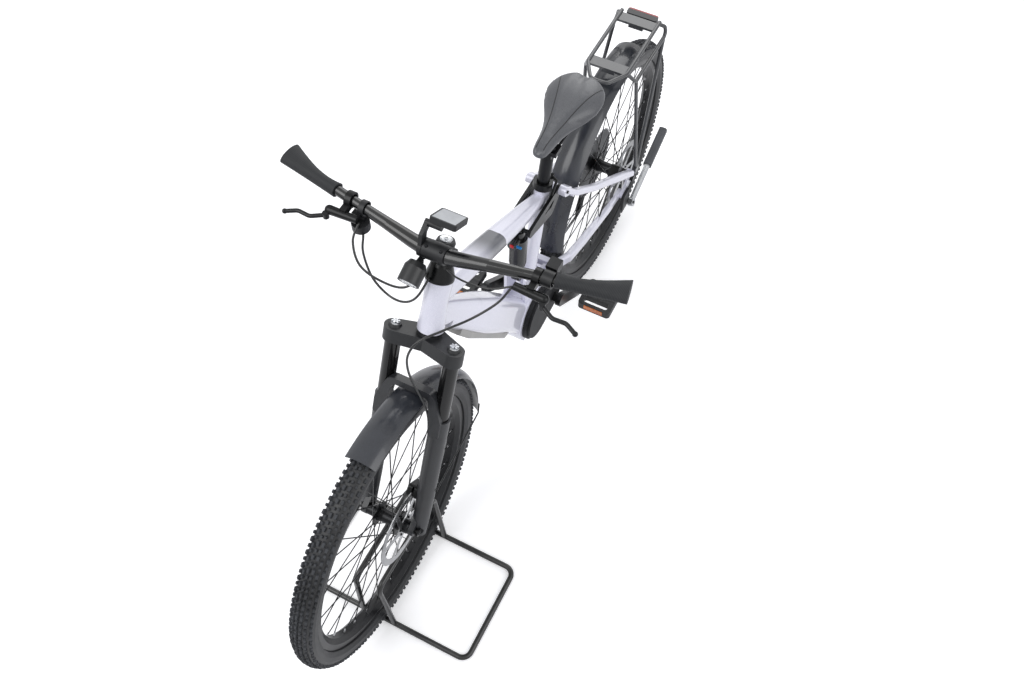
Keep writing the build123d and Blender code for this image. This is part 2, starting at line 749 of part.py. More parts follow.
# Round headlight hung in front of the bar
with BuildPart() as headlight:
    aim = Vector(0.93, 0, -0.36)
    back = Vector(312, -28, 1000)
    shell = Plane(origin=back, x_dir=(0, 1, 0), z_dir=aim)
    with BuildSketch(shell):
        Circle(17)
    with BuildSketch(shell.offset(12)):
        Circle(23)
    loft()
    with BuildSketch(shell.offset(12)):
        Circle(23)
    extrude(amount=34)
    with BuildSketch(shell.offset(46)):
        Circle(20)
    extrude(amount=-4, mode=Mode.SUBTRACT)
    with BuildSketch(side(-24)):
        with BuildLine():
            Polyline((300, 985), (318, 990), (318, 1006), (296, 1003), close=True)
        make_face()
    extrude(amount=8)
headlight.part.label = "headlight"
export_step(headlight.part, "parts/headlight.step")


def guard_arc(x, width, from_angle, to_angle):
    """A mudguard: a shallow arched blade swept round the tyre between two angles."""
    half = width / 2
    edge = GUARD_RADIUS - GUARD_SAG
    outer_edge = edge + 1.5
    turn = to_angle - from_angle
    with BuildPart() as blade:
        start = Plane(origin=(x, 0, AXLE_Z), x_dir=(0, 1, 0), z_dir=(1, 0, 0))
        with BuildSketch(start):
            with BuildLine():
                ThreePointArc((-half, edge), (0, GUARD_RADIUS), (half, edge))
                Line((half, edge), (half, outer_edge))
                ThreePointArc((half, outer_edge), (0, GUARD_RADIUS + GUARD_THICKNESS), (-half, outer_edge))
                Line((-half, outer_edge), (-half, edge))
            make_face()
        revolve(axis=wheel_axis(x), revolution_arc=turn)
    # The profile starts straight up, at 90 degrees, and turns forwards about +Y
    return blade.part.rotate(wheel_axis(x), 90 - to_angle)


with BuildPart() as front_mudguard:
    add(guard_arc(FRONT_X, FRONT_GUARD_WIDTH, FRONT_GUARD_FROM, FRONT_GUARD_TO))
front_mudguard.part.label = "front_mudguard"
export_step(front_mudguard.part, "parts/front_mudguard.step")

# Wire stays from the fork's feet to the tail of the front mudguard
with BuildPart() as mudguard_stays:
    tail = wheel_spot(FRONT_X, 0, GUARD_RADIUS - GUARD_SAG + 1, FRONT_GUARD_TO - 6)
    for sign in (1, -1):
        foot = steer_point(LEG_OFFSET, sign * (LEG_Y + LOWER_RADIUS + 1.5), LEG_FOOT + 140)
        knee = Vector(tail.X + 30, sign * 52, tail.Z + 16)
        end = Vector(tail.X, sign * (FRONT_GUARD_WIDTH / 2 + 2), tail.Z)
        add(bent_tube([foot, knee, end], 1.8, [14]))
mudguard_stays.part.label = "mudguard_stays"
export_step(mudguard_stays.part, "parts/mudguard_stays.step")


def caliper(centre, half_y, tilt):
    """A two-piston brake caliper: two cheeks that straddle the rotor under a bridge."""
    body = Plane(origin=centre, x_dir=(cos(radians(tilt)), 0, sin(radians(tilt))), z_dir=(0, -1, 0))
    with BuildPart() as block:
        with BuildSketch(body.offset(-half_y)):
            RectangleRounded(52, 30, 8)
        extrude(amount=2 * half_y)
        with BuildSketch(body.offset(-2.6)):
            with Locations((0, -6)):
                Rectangle(70, 36)
        extrude(amount=5.2, mode=Mode.SUBTRACT)
    return block.part


with BuildPart() as front_caliper:
    add(caliper(Vector(FRONT_X - 69, FRONT_ROTOR_Y, AXLE_Z + 69), 13, 45))
    add(fork_lowers.part, mode=Mode.SUBTRACT)
    add(pin(FRONT_X, AXLE_Z, FRONT_ROTOR_Y - 2.2, FRONT_ROTOR_Y + 2.2, ROTOR_RADIUS + 2), mode=Mode.SUBTRACT)
front_caliper.part.label = "front_caliper"
export_step(front_caliper.part, "parts/front_caliper.step")

# Display stand: a bent floor frame and two leaning loops, one each side of the wheel
with BuildPart() as display_stand:
    front_x = FRONT_X + STAND_HALF_LENGTH
    rear_x = FRONT_X - STAND_HALF_LENGTH
    for edge_y in (STAND_LEFT_Y, STAND_RIGHT_Y):
        half_ring = [
            (front_x, 0, STAND_TUBE),
            (front_x, edge_y, STAND_TUBE),
            (rear_x, edge_y, STAND_TUBE),
            (rear_x, 0, STAND_TUBE),
        ]
        add(bent_tube(half_ring, STAND_TUBE, [STAND_CORNER] * 2))
    for sign in (1, -1):
        loop = [
            (front_x, sign * STAND_LOOP_FOOT_Y, STAND_TUBE),
            (front_x, sign * STAND_LOOP_TOP_Y, STAND_LOOP_HEIGHT),
            (rear_x, sign * STAND_LOOP_TOP_Y, STAND_LOOP_HEIGHT),
            (rear_x, sign * STAND_LOOP_FOOT_Y, STAND_TUBE),
        ]
        add(bent_tube(loop, STAND_TUBE, [STAND_CORNER] * 2))
display_stand.part.label = "display_stand"
export_step(display_stand.part, "parts/display_stand.step")

# Main frame: head tube, formed top and down tubes, seat tube, motor cradle and shock mount
BB = (BB_X, BB_HEIGHT)
MOTOR_NOSE = (BB_X + 74, BB_HEIGHT + 17)
MOTOR_REAR_RADIUS = 48
MOTOR_NOSE_RADIUS = 76
SEAT_LEAN = 1 / tan(radians(SEAT_ANGLE))
CROWN_SWEEP = 60
PIVOT_PIN = 7


def seat_point(z):
    """A place on the seat tube's middle line at a height."""
    return Vector(SEAT_TOP_X + (SEAT_TOP_Z - z) * SEAT_LEAN, 0, z)


def motor_outline(grow):
    """The drive unit's side outline, grown all round."""
    with BuildSketch() as outline:
        with Locations(BB):
            Circle(MOTOR_REAR_RADIUS + grow)
        with Locations(MOTOR_NOSE):
            Circle(MOTOR_NOSE_RADIUS + grow)
        make_hull()
    return outline.sketch


DOWN_TOP = steer_point(-4, 0, 44)
DOWN_FOOT = Vector(-34, 0, 372)
DOWN_SPAN = DOWN_FOOT - DOWN_TOP
DOWN_UP = Vector(DOWN_SPAN.Z, 0, -DOWN_SPAN.X).normalized()
BOTTLE_SPACING = 64
BOTTLE_RADIUS = 2.5
BOTTLE_DEPTH = 14
TOP_FRONT = steer_point(-4, 0, HEAD_TUBE_LENGTH - 34)
TOP_REAR = seat_point(SEAT_TOP_Z - 46)
HEAD_SOLID = HEAD_TUBE_LENGTH - 4
down_tube = formed_tube(
    [
        (DOWN_TOP, 46, 56, 18),
        (DOWN_TOP + (DOWN_FOOT - DOWN_TOP) * 0.14, 50, 66, 20),
        (DOWN_TOP + (DOWN_FOOT - DOWN_TOP) * 0.34, 70, 84, 24),
        (DOWN_TOP + (DOWN_FOOT - DOWN_TOP) * 0.75, 78, 92, 24),
        (DOWN_FOOT, 78, 96, 22),
    ]
)
top_tube = formed_tube(
    [
        (TOP_FRONT, 50, 56, 20),
        (TOP_FRONT + (TOP_REAR - TOP_FRONT) * 0.4, 54, 46, 18),
        (TOP_REAR, 36, 34, 14),
    ]
)
with BuildPart() as main_frame:
    with BuildSketch(Plane(origin=(CROWN_X, 0, CROWN_Z), x_dir=STEER.x_dir, z_dir=(0, -1, 0))):
        with BuildLine():
            Line((0, 4), (HEAD_TUBE_RADIUS, 4))
            Line((HEAD_TUBE_RADIUS, 4), (HEAD_TUBE_RADIUS, 14))
            ThreePointArc(
                (HEAD_TUBE_RADIUS, 14),
                (HEAD_TUBE_WAIST, HEAD_TUBE_LENGTH / 2),
                (HEAD_TUBE_RADIUS, HEAD_TUBE_LENGTH - 12),
            )
            Line((HEAD_TUBE_RADIUS, HEAD_TUBE_LENGTH - 12), (HEAD_TUBE_RADIUS, HEAD_TUBE_LENGTH))
            Line((HEAD_TUBE_RADIUS, HEAD_TUBE_LENGTH), (0, HEAD_TUBE_LENGTH))
            Line((0, HEAD_TUBE_LENGTH), (0, 4))
        make_face()
    revolve(axis=Axis((CROWN_X, 0, CROWN_Z), STEER.z_dir))
    add(down_tube)
    add(top_tube)
    add(strut(seat_point(BB_HEIGHT + 80), seat_point(SEAT_TOP_Z), SEAT_TUBE_RADIUS))
    with BuildSketch(side(39)):
        add(motor_outline(9))
        with BuildLine():
            Polyline(
                (BB_X - 34, BB_HEIGHT + 20),
                (MOTOR_NOSE[0] + 92, MOTOR_NOSE[1] - 66),
                (MOTOR_NOSE[0] + 92, 200),
                (-400, 200),
                (-400, BB_HEIGHT + 20),
                close=True,
            )
        make_face(mode=Mode.SUBTRACT)
    extrude(amount=78)
    for y in (SEAT_TUBE_RADIUS + 11, -SEAT_TUBE_RADIUS - 3):
        add(link_plate([(SHOCK_LOW_X, SHOCK_LOW_Z, 12), (SHOCK_LOW_X - 12, SHOCK_LOW_Z - 90, 26)], y, 8))
    for y in (20, -12):
        add(link_plate([(MAIN_PIVOT_X, MAIN_PIVOT_Z, 13), (MAIN_PIVOT_X + 50, MAIN_PIVOT_Z + 14, 22)], y, 8))
    with BuildSketch(side(MOTOR_HALF_WIDTH + 10)):
        add(motor_outline(0.4))
    extrude(amount=2 * MOTOR_HALF_WIDTH + 20, mode=Mode.SUBTRACT)
    with BuildSketch(STEER.offset(-10)):
        Circle(HEAD_BORE)
    extrude(amount=HEAD_TUBE_LENGTH + 20, mode=Mode.SUBTRACT)
    for low, high in ((-70, 4), (HEAD_TUBE_LENGTH, HEAD_TUBE_LENGTH + 40)):
        with BuildSketch(STEER.offset(low)):
            Circle(CROWN_SWEEP)
        extrude(amount=high - low, mode=Mode.SUBTRACT)
    for y_from, y_to in ((23, 60), (-60, -23)):
        add(pin(MAIN_PIVOT_X, MAIN_PIVOT_Z, y_from, y_to, 24), mode=Mode.SUBTRACT)
    add(pin(MAIN_PIVOT_X, MAIN_PIVOT_Z, -43, 43, PIVOT_PIN))
    for share in (0.4, 0.4 + BOTTLE_SPACING / (DOWN_FOOT - DOWN_TOP).length):
        spot = DOWN_TOP + (DOWN_FOOT - DOWN_TOP) * share
        print("bottle hole", [round(v, 4) for v in spot + DOWN_UP * 46], [round(v, 5) for v in DOWN_UP])
        add(strut(spot + DOWN_UP * (46 - BOTTLE_DEPTH), spot + DOWN_UP * 60, BOTTLE_RADIUS), mode=Mode.SUBTRACT)
    add(
        strut(seat_point(BB_HEIGHT + 110), seat_point(SEAT_TOP_Z + 20), SEATPOST_RADIUS + SEATPOST_FIT),
        mode=Mode.SUBTRACT,
    )
    add(pin(SHOCK_LOW_X, SHOCK_LOW_Z, -60, 60, 5), mode=Mode.SUBTRACT)
main_frame.part.label = "main_frame"
export_step(main_frame.part, "parts/main_frame.step")

# Battery cover: a long shallow tray under the down tube
with BuildPart() as battery_cover:
    for share, drop, width in ((0.24, 48, 50), (0.34, 54, 64), (0.8, 58, 66), (0.86, 52, 54)):
        place = DOWN_TOP + DOWN_SPAN * share
        with BuildSketch(Plane(origin=place, x_dir=(0, 1, 0), z_dir=DOWN_SPAN)):
            with Locations((0, drop - 11)):
                RectangleRounded(width, 20, 7)
    loft(ruled=True)
    add(main_frame.part, mode=Mode.SUBTRACT)
battery_cover.part.label = "battery_cover"
export_step(battery_cover.part, "parts/battery_cover.step")

# Drive unit: a block wrapped by the cradle, with flat side covers and a bore for the spindle
with BuildPart() as drive_unit:
    with BuildSketch(side(MOTOR_HALF_WIDTH - 8)):
        add(motor_outline(0))
    extrude(amount=MOTOR_HALF_WIDTH - 8 + CHAIN_LINE - 12)
    with BuildSketch(side(MOTOR_HALF_WIDTH)):
        add(motor_outline(-6))
    extrude(amount=8)
    with BuildSketch(side(12 - CHAIN_LINE)):
        add(motor_outline(-8))
    extrude(amount=4)
    add(pin(BB_X, BB_HEIGHT, -80, 80, 14), mode=Mode.SUBTRACT)
drive_unit.part.label = "drive_unit"
export_step(drive_unit.part, "parts/drive_unit.step")


def stay(stations):
    """A kinked tube of rounded upright sections: centre, width and height of each, from front to back."""
    with BuildPart() as tube:
        for pair in zip(stations, stations[1:]):
            for centre, width, height in pair:
                with BuildSketch(Plane(origin=centre, x_dir=(0, 1, 0), z_dir=(1, 0, 0))):
                    RectangleRounded(width, height, min(width, height) * 0.35)
            loft(ruled=True)
    return tube.part


# Chainstays: a yoke behind the motor, two kinked stays and the rear pivots' eyes
chainstay_route = [
    ((MAIN_PIVOT_X, 33, MAIN_PIVOT_Z), 19, 30),
    ((-210, 33, 392), 19, 33),
    ((-264, 48, 374), 19, 33),
    ((-344, 55.5, 362), 19, 30),
    ((-484, 66.5, 346), 15, 26),
    ((HORST_X + 12, DROPOUT_Y - 6.2, HORST_Z + 4), 11.4, 24),
]
with BuildPart() as chainstays:
    add(stay(chainstay_route))
    add(link_plate([(MAIN_PIVOT_X, MAIN_PIVOT_Z, 15), (MAIN_PIVOT_X - 30, MAIN_PIVOT_Z - 14, 15)], 42.5, 19))
    add(link_plate([(HORST_X, HORST_Z, 13), (HORST_X + 26, HORST_Z + 6, 12)], DROPOUT_Y - RUNNING_GAP, 11))
    mirror(chainstays.part, about=Plane.XZ)
    with BuildSketch(Plane(origin=(-200, 0, 393), x_dir=(0, 1, 0), z_dir=(1, 0, 0))):
        RectangleRounded(60, 22, 8)
    extrude(amount=-16)
    add(pin(HORST_X, HORST_Z, DROPOUT_Y - 9, DROPOUT_Y + DROPOUT_THICKNESS, PIVOT_PIN - 2))
    add(pin(HORST_X, HORST_Z, 9 - DROPOUT_Y, -DROPOUT_Y - DROPOUT_THICKNESS, PIVOT_PIN - 2))
    add(pin(MAIN_PIVOT_X, MAIN_PIVOT_Z, -60, 60, PIVOT_PIN + RUNNING_GAP / 2), mode=Mode.SUBTRACT)
chainstays.part.label = "chainstays"
export_step(chainstays.part, "parts/chainstays.step")

# Seatstays: stays from the rocker to the dropouts, a bridge, and the plates that hold the axle
SEATSTAY_Y = ROCKER_Y + ROCKER_THICKNESS + RUNNING_GAP + 9.5
seatstay_route = [
    ((REAR_X + 8, DROPOUT_Y + 9.6, AXLE_Z + 28), 19, 24),
    ((REAR_X + 70, DROPOUT_Y + 2, AXLE_Z + 72), 19, 29),
    ((-360, 62, 564), 19, 24),
    ((-262, 54, 646), 19, 24),
    ((ROCKER_REAR_X - 6, SEATSTAY_Y, ROCKER_REAR_Z - 4), 19, 26),
]
with BuildPart() as seatstays:
    add(stay(seatstay_route))
    add(link_plate([(ROCKER_REAR_X, ROCKER_REAR_Z, 13), (ROCKER_REAR_X - 14, ROCKER_REAR_Z - 12, 12)], SEATSTAY_Y + 9.5, 19))
    add(
        link_plate(
            [(HORST_X, HORST_Z, 13), (REAR_X, AXLE_Z, 20), (REAR_X + 22, AXLE_Z + 34, 16)],
            DROPOUT_Y + DROPOUT_THICKNESS,
            DROPOUT_THICKNESS,
        )
    )
    mirror(seatstays.part, about=Plane.XZ)
    add(pin(-252, 652, -56, 56, 9))
    add(pin(REAR_X, AXLE_Z, -120, 120, REAR_AXLE_RADIUS + RUNNING_GAP / 2), mode=Mode.SUBTRACT)
    add(pin(HORST_X, HORST_Z, -120, 120, PIVOT_PIN - 2 + RUNNING_GAP / 2), mode=Mode.SUBTRACT)
    add(pin(ROCKER_REAR_X, ROCKER_REAR_Z, -120, 120, 4 + RUNNING_GAP / 2), mode=Mode.SUBTRACT)
seatstays.part.label = "seatstays"
export_step(seatstays.part, "parts/seatstays.step")

with BuildPart() as rear_axle:
    add(pin(REAR_X, AXLE_Z, -DROPOUT_Y - DROPOUT_THICKNESS, DROPOUT_Y + DROPOUT_THICKNESS, REAR_AXLE_RADIUS))
    add(pin(REAR_X, AXLE_Z, DROPOUT_Y + DROPOUT_THICKNESS + 9.5, DROPOUT_Y + DROPOUT_THICKNESS, REAR_AXLE_RADIUS + 4))
rear_axle.part.label = "rear_axle"
export_step(rear_axle.part, "parts/rear_axle.step")

# Rocker: two plates with a cross bolt, pivoted on the seat tube and holding the shock's head
ROCKER_PIVOT = seat_point(664)
with BuildPart() as rocker_link:
    outline = [
        (ROCKER_REAR_X, ROCKER_REAR_Z, 12),
        (ROCKER_PIVOT.X, ROCKER_PIVOT.Z, 14),
        (ROCKER_FRONT_X, ROCKER_FRONT_Z, 12),
        (ROCKER_REAR_X + 40, ROCKER_REAR_Z + 4, 8),
        (ROCKER_REAR_X, ROCKER_REAR_Z, 12),
    ]
    add(link_plate(outline, ROCKER_Y + ROCKER_THICKNESS, ROCKER_THICKNESS))
    mirror(rocker_link.part, about=Plane.XZ)
    add(pin(ROCKER_FRONT_X, ROCKER_FRONT_Z, -ROCKER_Y - 2, ROCKER_Y + 2, 5))
    add(pin(ROCKER_PIVOT.X, ROCKER_PIVOT.Z, -ROCKER_Y - 2, -SEAT_TUBE_RADIUS - RUNNING_GAP, 8))
    add(pin(ROCKER_PIVOT.X, ROCKER_PIVOT.Z, SEAT_TUBE_RADIUS + RUNNING_GAP, ROCKER_Y + 2, 8))
    add(pin(ROCKER_REAR_X, ROCKER_REAR_Z, -SEATSTAY_Y - 13, -ROCKER_Y - 2, 4))
    add(pin(ROCKER_REAR_X, ROCKER_REAR_Z, ROCKER_Y + 2, SEATSTAY_Y + 13, 4))
rocker_link.part.label = "rocker_link"
export_step(rocker_link.part, "parts/rocker_link.step")

# Rear shock: eye, valve head, air can, damper shaft and lower eye along one line
SHOCK_TOP = Vector(ROCKER_FRONT_X, 0, ROCKER_FRONT_Z)
SHOCK_LOW = Vector(SHOCK_LOW_X, 0, SHOCK_LOW_Z)
shock_line = SHOCK_LOW - SHOCK_TOP
with BuildPart() as shock:
    for centre in (SHOCK_TOP, SHOCK_LOW):
        with BuildSketch(side(11)):
            with Locations((centre.X, centre.Z)):
                Circle(11)
                Circle(5.2, mode=Mode.SUBTRACT)
        extrude(amount=22)
    for start, end, radius in ((0.03, 0.2, 15), (0.17, 0.66, 22), (0.66, 0.72, 20), (0.7, 0.97, 8)):
        add(strut(SHOCK_TOP + shock_line * start, SHOCK_TOP + shock_line * end, radius))
    add(strut(SHOCK_TOP + shock_line * 0.16 + Vector(14, 0, 0), SHOCK_TOP + shock_line * 0.16 + Vector(36, 0, 0), 12))
    for centre in (SHOCK_TOP, SHOCK_LOW):
        add(pin(centre.X, centre.Z, -20, 20, 5.2), mode=Mode.SUBTRACT)
shock.part.label = "shock"
export_step(shock.part, "parts/shock.step")

# Seatpost with its head and saddle rails, and the quick-release collar on the seat tube
POST_TOP = seat_point(SADDLE_TOP - 78)
SADDLE_BASE = SADDLE_TOP - 52
RAIL_Z = SADDLE_BASE - 15
with BuildPart() as seatpost:
    add(strut(seat_point(SEAT_TOP_Z - 180), POST_TOP, SEATPOST_RADIUS))
    with Locations(POST_TOP + Vector(0, 0, 2)):
        Box(34, 30, 16)
    with Locations((POST_TOP.X, 0, RAIL_Z)):
        Box(32, 54, 13)
    for sign in (1, -1):
        rail = [
            (SADDLE_REAR_X + SADDLE_LENGTH - 34, sign * 9, SADDLE_BASE + 6),
            (SADDLE_REAR_X + SADDLE_LENGTH - 66, sign * 18, RAIL_Z),
            (SADDLE_REAR_X + 78, sign * 22, RAIL_Z),
            (SADDLE_REAR_X + 44, sign * 30, SADDLE_BASE + 6),
        ]
        add(bent_tube(rail, 3.5, [20, 20]))
    with Locations((POST_TOP.X, 0, SADDLE_BASE - 0.3 + 20)):
        Box(2 * SADDLE_LENGTH, 100, 40, mode=Mode.SUBTRACT)
seatpost.part.label = "seatpost"
export_step(seatpost.part, "parts/seatpost.step")

collar_low = seat_point(SEAT_TOP_Z - 14)
collar_high = seat_point(SEAT_TOP_Z + 3)
with BuildPart() as seat_clamp:
    add(strut(collar_low, collar_high, SEAT_TUBE_RADIUS + 5))
    add(strut(collar_low, seat_point(SEAT_TOP_Z), SEAT_TUBE_RADIUS + RUNNING_GAP / 2), mode=Mode.SUBTRACT)
    add(strut(collar_low, collar_high, SEATPOST_RADIUS + 1), mode=Mode.SUBTRACT)
    with Locations(seat_point(SEAT_TOP_Z - 6) + Vector(-SEAT_TUBE_RADIUS - 10, 0, 0)):
        Box(14, 26, 13)
    add(
        bent_tube(
            [
                seat_point(SEAT_TOP_Z - 6) + Vector(-SEAT_TUBE_RADIUS - 11, 12, 0),
                seat_point(SEAT_TOP_Z - 6) + Vector(-SEAT_TUBE_RADIUS - 4, 26, 2),
                seat_point(SEAT_TOP_Z - 6) + Vector(22, 34, 0),
            ],
            3.5,
            [5],
        )
    )
seat_clamp.part.label = "seat_clamp"
export_step(seat_clamp.part, "parts/seat_clamp.step")

# Saddle: a plain padded body, wide at the back and slim at the nose
with BuildPart() as saddle:
    stations = (
        (0, SADDLE_WIDTH * 0.56, 26, 12),
        (26, SADDLE_WIDTH * 0.92, 38, 6),
        (64, SADDLE_WIDTH, 44, 0),
        (120, SADDLE_WIDTH * 0.72, 40, -6),
        (170, SADDLE_WIDTH * 0.38, 36, -8),
        (SADDLE_LENGTH - 30, 44, 36, -8),
        (SADDLE_LENGTH, 30, 22, -12),
    )
    for along, width, depth, lift in stations:
        middle = (SADDLE_REAR_X + along, 0, SADDLE_TOP - 12 - depth / 2 + lift)
        with BuildSketch(Plane(origin=middle, x_dir=(0, 1, 0), z_dir=(1, 0, 0))):
            RectangleRounded(width, depth, depth * 0.42)
    loft(ruled=True)
    with Locations((SADDLE_REAR_X + SADDLE_LENGTH / 2, 0, SADDLE_BASE - 20)):
        Box(SADDLE_LENGTH + 20, SADDLE_WIDTH + 20, 40, mode=Mode.SUBTRACT)
saddle.part.label = "saddle"
export_step(saddle.part, "parts/saddle.step")

with BuildPart() as rear_mudguard:
    add(guard_arc(REAR_X, REAR_GUARD_WIDTH, REAR_GUARD_FROM, REAR_GUARD_TO))
rear_mudguard.part.label = "rear_mudguard"
export_step(rear_mudguard.part, "parts/rear_mudguard.step")

# Rack: upper hoop, lower bag rails, cross plates over the mudguard and stays to the dropouts
STRUT_FOOT = (REAR_X - 14, DROPOUT_Y + DROPOUT_THICKNESS + 5.6, AXLE_Z + 26)
with BuildPart() as rear_rack:
    hoop = [
        (RACK_REAR_X, RACK_HALF_WIDTH, RACK_HEIGHT),
        (RACK_FRONT_X, RACK_HALF_WIDTH, RACK_HEIGHT),
        (RACK_NOSE_X, RACK_HALF_WIDTH * 0.42, RACK_HEIGHT),
        (RACK_NOSE_X, -RACK_HALF_WIDTH * 0.42, RACK_HEIGHT),
        (RACK_FRONT_X, -RACK_HALF_WIDTH, RACK_HEIGHT),
        (RACK_REAR_X, -RACK_HALF_WIDTH, RACK_HEIGHT),
    ]
    add(bent_tube(hoop, RACK_TUBE, [30, 20, 20, 30]))
    for sign in (1, -1):
        rail = [
            (RACK_FRONT_X - 4, sign * RACK_HALF_WIDTH, RACK_HEIGHT - 2),
            (RACK_FRONT_X - 26, sign * RAIL_HALF_WIDTH, RAIL_HEIGHT),
            (RACK_REAR_X - 12, sign * RAIL_HALF_WIDTH, RAIL_HEIGHT),
            (RACK_REAR_X - 6, sign * (RAIL_HALF_WIDTH - 4), RACK_HEIGHT - 14),
            (RACK_REAR_X + 6, sign * RACK_HALF_WIDTH, RACK_HEIGHT - 2),
        ]
        add(bent_tube(rail, RACK_TUBE, [14, 14, 8]))
        for top_x in (RACK_FRONT_X - 30, RACK_REAR_X + 4):
            foot = Vector(STRUT_FOOT[0], sign * STRUT_FOOT[1], STRUT_FOOT[2])
            add(strut((top_x, sign * RAIL_HALF_WIDTH, RAIL_HEIGHT), foot, RACK_TUBE))
        with Locations((STRUT_FOOT[0], sign * STRUT_FOOT[1], STRUT_FOOT[2] - 2)):
            Box(22, 10.4, 22)
    for plate_x in (RACK_FRONT_X - 12, RACK_REAR_X + 22):
        with Locations((plate_x, 0, RACK_HEIGHT - 4)):
            Box(30, 2 * RACK_HALF_WIDTH - 2, 7)
        with Locations((plate_x, 0, RACK_HEIGHT - 12)):
            Box(24, 40, 12)
rear_rack.part.label = "rear_rack"
export_step(rear_rack.part, "parts/rear_rack.step")

with BuildPart() as tail_light:
    with Locations((RACK_REAR_X - 11, 0, RACK_HEIGHT - 16)):
        Box(22, 84, 26)
    fillet(tail_light.edges().filter_by(Axis.Z), 6)
tail_light.part.label = "tail_light"
export_step(tail_light.part, "parts/tail_light.step")

# Chain run: ring, driven cog and two derailleur pulleys in one upright plane
RING_RADIUS = RING_TEETH * CHAIN_PITCH / (2 * pi)
COG_RADIUS = COG_TEETH[DRIVEN_COG] * CHAIN_PITCH / (2 * pi)
PULLEY_RADIUS = PULLEY_TEETH * CHAIN_PITCH / (2 * pi)
GUIDE = (REAR_X + 8, AXLE_Z - COG_RADIUS - PULLEY_RADIUS - 14)
CAGE_LENGTH = 84


def chain_wheels(cage_angle):
    """Centre, radius and turning sense of each wheel, in the order that the chain meets them."""
    tension = (GUIDE[0] + CAGE_LENGTH * cos(radians(cage_angle)), GUIDE[1] + CAGE_LENGTH * sin(radians(cage_angle)))
    return [
        (BB, RING_RADIUS, 1),
        ((REAR_X, AXLE_Z), COG_RADIUS, 1),
        (GUIDE, PULLEY_RADIUS, -1),
        (tension, PULLEY_RADIUS, 1),
    ]


def chain_spans(wheels, grow):
    """The straight spans between the wheels: start, end and heading, outside the loop by grow."""
    spans = []
    for index, (here, radius, turn) in enumerate(wheels):
        there, next_radius, next_turn = wheels[(index + 1) % len(wheels)]
        dx = there[0] - here[0]
        dz = there[1] - here[1]
        own = turn * radius + grow
        other = next_turn * next_radius + grow
        length = sqrt(dx * dx + dz * dz - (other - own) ** 2)
        heading = atan2(dz, dx) - atan2(other - own, length)
        left = (-sin(heading), cos(heading))
        start = (here[0] - own * left[0], here[1] - own * left[1])
        end = (there[0] - other * left[0], there[1] - other * left[1])
        spans.append((start, end, heading))
    return spans


def chain_pieces(wheels):
    """The loop as lengths: each wheel's arc then the span that leaves it."""
    spans = chain_spans(wheels, 0)
    pieces = []
    for index, (centre, radius, turn) in enumerate(wheels):
        start, end, heading = spans[index]
        arriving = spans[index - 1][2]
        swept = ((heading - arriving) * turn) % (2 * pi)
        first = atan2(spans[index - 1][1][1] - centre[1], spans[index - 1][1][0] - centre[0])
        pieces.append(("arc", radius * swept, centre, radius, turn, first))
        pieces.append(("line", hypot(end[0] - start[0], end[1] - start[1]), start, heading))
    return pieces


def chain_length(cage_angle):
    return sum(piece[1] for piece in chain_pieces(chain_wheels(cage_angle)))


# The cage swings until the loop holds a whole, even number of links
CAGE_SLACK = -96
CAGE_TIGHT = -40
LINKS = 2 * int(chain_length(-70) / CHAIN_PITCH / 2)
low, high = CAGE_SLACK, CAGE_TIGHT
rising = chain_length(high) > chain_length(low)
for step in range(40):
    middle = (low + high) / 2
    if (chain_length(middle) > LINKS * CHAIN_PITCH) == rising:
        high = middle
    else:
        low = middle
CAGE_ANGLE = (low + high) / 2
WHEELS = chain_wheels(CAGE_ANGLE)
TENSION = WHEELS[3][0]


def chain_spot(distance):
    """The place at a distance along the loop, and which wheel it lies on if any."""
    for index, piece in enumerate(chain_pieces(WHEELS)):
        if distance <= piece[1]:
            if piece[0] == "arc":
                angle = piece[5] + piece[4] * distance / piece[3]
                return piece[2][0] + piece[3] * cos(angle), piece[2][1] + piece[3] * sin(angle), index // 2, angle
            start, heading = piece[2], piece[3]
            return start[0] + distance * cos(heading), start[1] + distance * sin(heading), None, 0
        distance -= piece[1]
    return chain_spot(0)


LOOP = chain_length(CAGE_ANGLE)
ROLLERS = [chain_spot((i + 0.5) * LOOP / LINKS) for i in range(LINKS)]
PHASE = [next(degrees(angle) for x, z, wheel, angle in ROLLERS if wheel == index) for index in range(4)]
print("chain links", LINKS, "pitch", LOOP / LINKS, "cage angle", CAGE_ANGLE, "wheel phases", PHASE)


def chain_band(y_from, thickness):
    """One row of side plates: the loop's outline grown out and in by half the plate height."""
    with BuildPart() as band:
        with BuildSketch(side(y_from)):
            for grow, mode in ((CHAIN_HEIGHT / 2, Mode.ADD), (-CHAIN_HEIGHT / 2, Mode.SUBTRACT)):
                spans = chain_spans(WHEELS, grow)
                with BuildLine() as edge:
                    for index, (centre, radius, turn) in enumerate(WHEELS):
                        arrive = spans[index - 1][1]
                        leave = spans[index][0]
                        Line(spans[index - 1][0], arrive)
                        reach = abs(turn * radius + grow)
                        swept = ((spans[index][2] - spans[index - 1][2]) * turn) % (2 * pi)
                        half_way = atan2(arrive[1] - centre[1], arrive[0] - centre[0]) + turn * swept / 2
                        ThreePointArc(
                            arrive, (centre[0] + reach * cos(half_way), centre[1] + reach * sin(half_way)), leave
                        )
                make_face(edge.edges(), mode=mode)
        extrude(amount=thickness)
    return band.part


def roller(x, z):
    """A six-sided pin and roller across the chain."""
    with BuildPart() as piece:
        with BuildSketch(side(CHAIN_HALF_WIDTH - CHAIN_LINE - 0.3)):
            with Locations((x, z)):
                RegularPolygon(ROLLER_RADIUS, 6)
        extrude(amount=2 * CHAIN_HALF_WIDTH - 0.6)
    return piece.part


